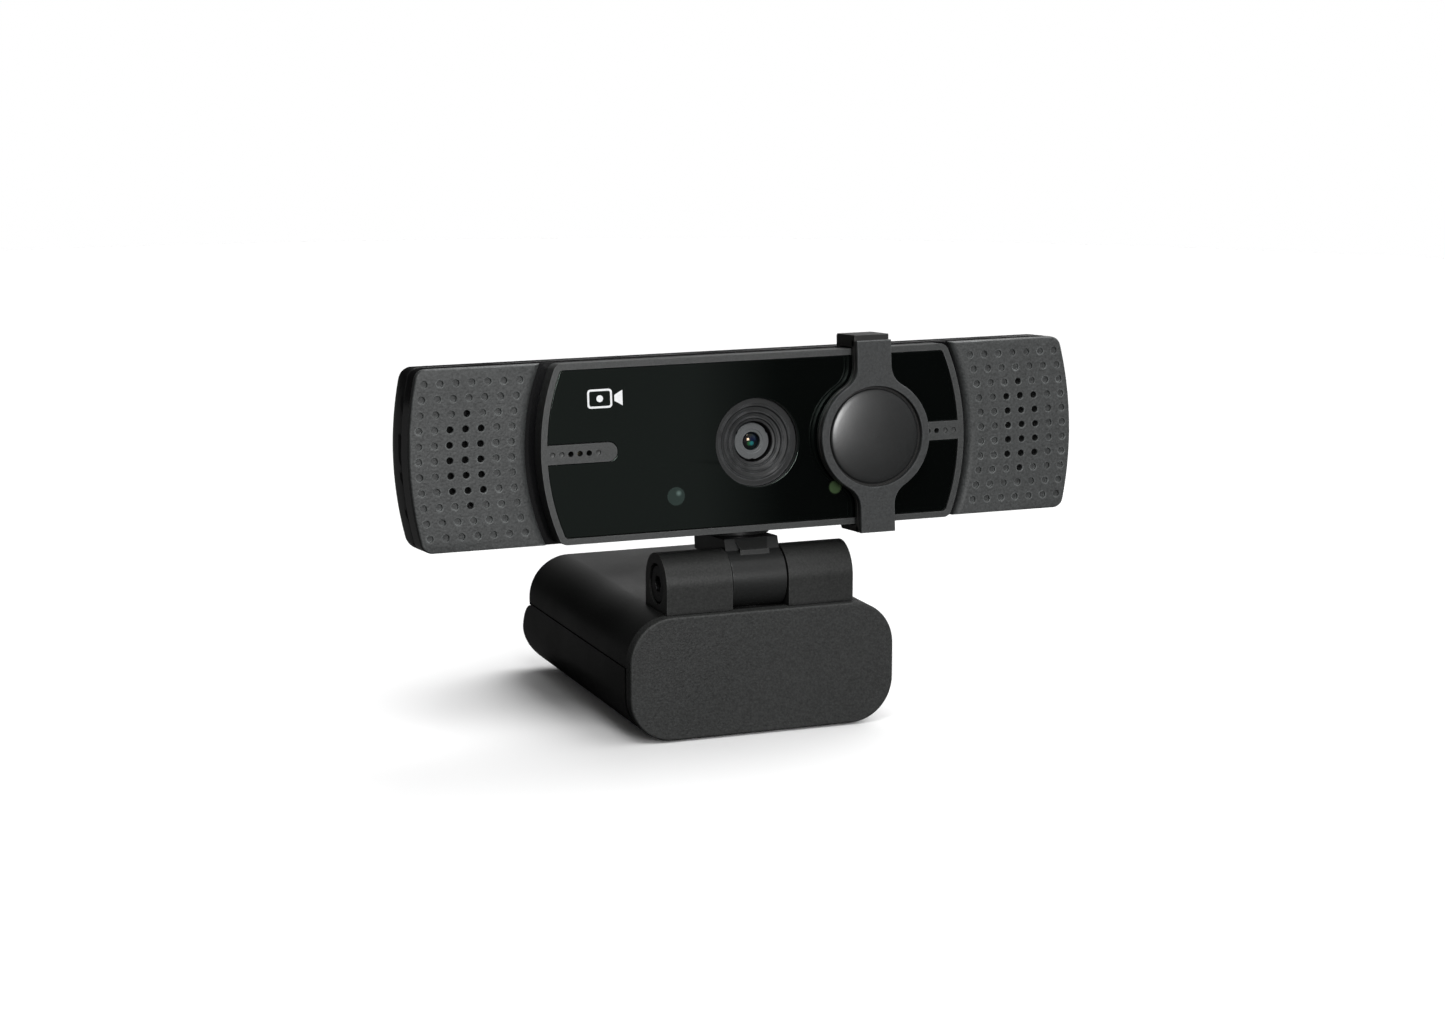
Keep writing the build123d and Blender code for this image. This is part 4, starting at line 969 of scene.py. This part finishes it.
# Electronics.
# A green glass-fibre board with its sensor, processor, memory, socket and small parts, and two
# microphone boards; they are inside the case, finished as the real parts are.
board_green, tree, shader, place = new_material("green_circuit_board")
track_feeds = {"Vector": place, "Scale": 420.0, "Mortar Size": 0.06, "Mortar": (0.03, 0.2, 0.08, 1.0)}
track_feeds |= {"Color1": (0.01, 0.09, 0.035, 1.0), "Color2": (0.012, 0.11, 0.045, 1.0)}
tracks = node_in(tree, "ShaderNodeTexBrick", track_feeds).outputs["Color"]
haze = placed_group(tree, film, place, Bright=0.25, Dull=0.4)
fed(tree, shader, {"Base Color": tracks, "Roughness": haze["Roughness"]})
dressed(board_green, "main_board", "mic_boards")
chip_epoxy = moulded("chip_epoxy", (0.018, 0.018, 0.019), 0.45, 0.6, 0.12, 0.01, wear_and_highlight=0.2)
dressed(chip_epoxy, "image_processor", "memory_chip", "image_sensor", "light_sensor")
dressed(moulded("socket_nylon", (0.62, 0.58, 0.46), 0.45, 0.55, 0.2, 0.01, tone=0.05, lift=1.1), "cable_socket")
dressed(moulded("capacitor_ceramic", (0.3, 0.22, 0.13), 0.4, 0.5, 0.1, 0.01, lift=1.3), "board_capacitors")
dressed(metal("capsule_can", (0.62, 0.56, 0.4), 0.3), "mic_capsules")
dressed(rubber, "mic_gaskets")
dressed(bright_steel, "board_screws")
dressed(moulded("lamp_green", (0.05, 0.4, 0.12), 0.3, 0.4, 0.1, 0.004, lift=1.2), "status_led")
clear_plastic = moulded("smoky_clear_plastic", (0.07, 0.085, 0.08), 0.12, 0.2, 0.4, 0.002, wear_and_highlight=0.1)
dressed(clear_plastic, "light_pipe", "sensor_window")

# Privacy cover.
# A ring plate on two straps that hook over the head: a textured face plate over a thin spacer
# and a thicker bracket, so its edge shows three layers, with a satin disc let into the ring.
cover_x = 21.4
cover_ring_radius = 10.4
strap_half = 3.3
strap_top = 17.08
fillet_radius = 4.0
cover_hole = 8.95


def cover_outline(inset):
    """The ring and its two straps, with rounded inner corners, drawn inset by a distance."""
    centre_x = strap_half + fillet_radius
    centre_z = sqrt((cover_ring_radius + fillet_radius) ** 2 - centre_x**2)
    half, top = strap_half - inset, strap_top - inset
    quarter = [(half * i / 3, top) for i in range(4)] + [(half, top + (centre_z - top) * i / 3) for i in range(1, 4)]
    end = atan2(-centre_z, -centre_x)
    for i in range(1, 9):
        angle = -pi + (end + pi) * i / 8
        reach = fillet_radius + inset
        quarter.append((centre_x + reach * cos(angle), centre_z + reach * sin(angle)))
    start = atan2(centre_z, centre_x)
    for i in range(1, 13):
        angle = start * (1 - i / 12)
        quarter.append(((cover_ring_radius - inset) * cos(angle), (cover_ring_radius - inset) * sin(angle)))
    return both_halves(quarter)


def cover_layer(name, levels, hole):
    """A flat ring with straps, built from its edge's levels of inset and depth, and its hole."""
    rings = [[(x + cover_x, depth, z) for x, z in cover_outline(inset)] for inset, depth in levels]
    turn = [atan2(z, x) for x, z in cover_outline(0.0)]
    rings += [[(cover_x + radius * cos(a), depth, radius * sin(a)) for a in turn] for radius, depth in hole]
    return smooth(stacked(name, rings), 35)


cover_grey = moulded("textured_cover_grey", (0.03, 0.032, 0.0325), 0.5, 0.6, 0.4, 0.04, tone=0.3, wear_and_highlight=0.9, lift=3.0)
# The straps' edges are painted much lighter through the edge mask, as painted highlight lines along the layers.
strap_grey = moulded("satin_strap_grey", (0.014, 0.0135, 0.013), 0.35, 0.45, 0.3, 0.012, wear_and_highlight=1.0, lift=6.0)
plate_levels = [(0.3, -1.9), (0.3, -2.15), (0.0, -2.2), (0.0, -2.88), (0.12, -3.0)]
plate_hole = [(cover_hole + 0.1, -3.0), (cover_hole, -2.9), (cover_hole, -1.9)]
plate_mesh = on_head(cover_layer("cover_face", plate_levels, plate_hole))
fitted("cover_face", plate_mesh, cover_grey, "privacy_cover", "cover_plastic", "cover_plate")

bracket_levels = [(0.1, -0.4), (0.0, -0.5), (0.0, -1.4), (0.1, -1.48), (0.4, -1.5), (0.4, -1.64)]
bracket_levels += [(0.05, -1.66), (0.05, -1.88), (0.3, -1.9)]
bracket_parts = [cover_layer("cover_bracket_ring", bracket_levels, [(8.0, -1.9), (8.0, -0.4)])]
arm_inner = 15.95
arm_reach = 6.3
hook_front = 5.3
hook_tip = 15.2
for up, arm_outer in ((1, 18.1), (-1, strap_top)):
    side = [(-1.85, arm_outer - 0.02), (arm_reach - 0.35, arm_outer - 0.02), (arm_reach, arm_outer - 0.4)]
    side += [(arm_reach, hook_tip + 0.1), (arm_reach - 0.1, hook_tip), (hook_front + 0.1, hook_tip)]
    side += [(hook_front, hook_tip + 0.1), (hook_front, arm_inner - 0.15), (hook_front - 0.15, arm_inner)]
    side += [(-0.4, arm_inner), (-1.85, arm_inner)]
    walls = [[(cover_x + x, y, up * z) for y, z in side] for x in (-strap_half, strap_half)]
    bracket_parts.append(eased("strap_eased", stacked("strap", walls, False), 0.14))
bracket_mesh = on_head(joined("cover_bracket_hooked", bracket_parts))
fitted("cover_straps", bracket_mesh, strap_grey, "privacy_cover", "bracket_plastic", "cover_bracket")

disc_colour = (0.015, 0.0158, 0.016)
disc_grey = moulded("satin_disc_grey", disc_colour, 0.27, 0.35, 0.22, 0.009, tone=0.25, wear_and_highlight=0.7, sheen=1.0)
disc_profile = [(0.02, -3.0), (1.5, -2.98), (3.0, -2.93), (4.5, -2.84), (6.0, -2.7), (7.3, -2.54), (8.1, -2.4)]
disc_profile += [(8.38, -2.3), (8.47, -2.15), (8.47, -1.95), (8.4, -1.9), (0.02, -1.9)]
disc_mesh = turned("cover_button", disc_profile, 96, 40.0, cover_x)
fitted("cover_button", disc_mesh, disc_grey, "privacy_cover", "disc_plastic", "cover_disc")
dressed(moulded("felt_pad", (0.012,) * 3, 0.9, 0.98, 0.2, 0.12, tone=0.6, wear_and_highlight=0.0, sheen=0.1), "cover_pad")
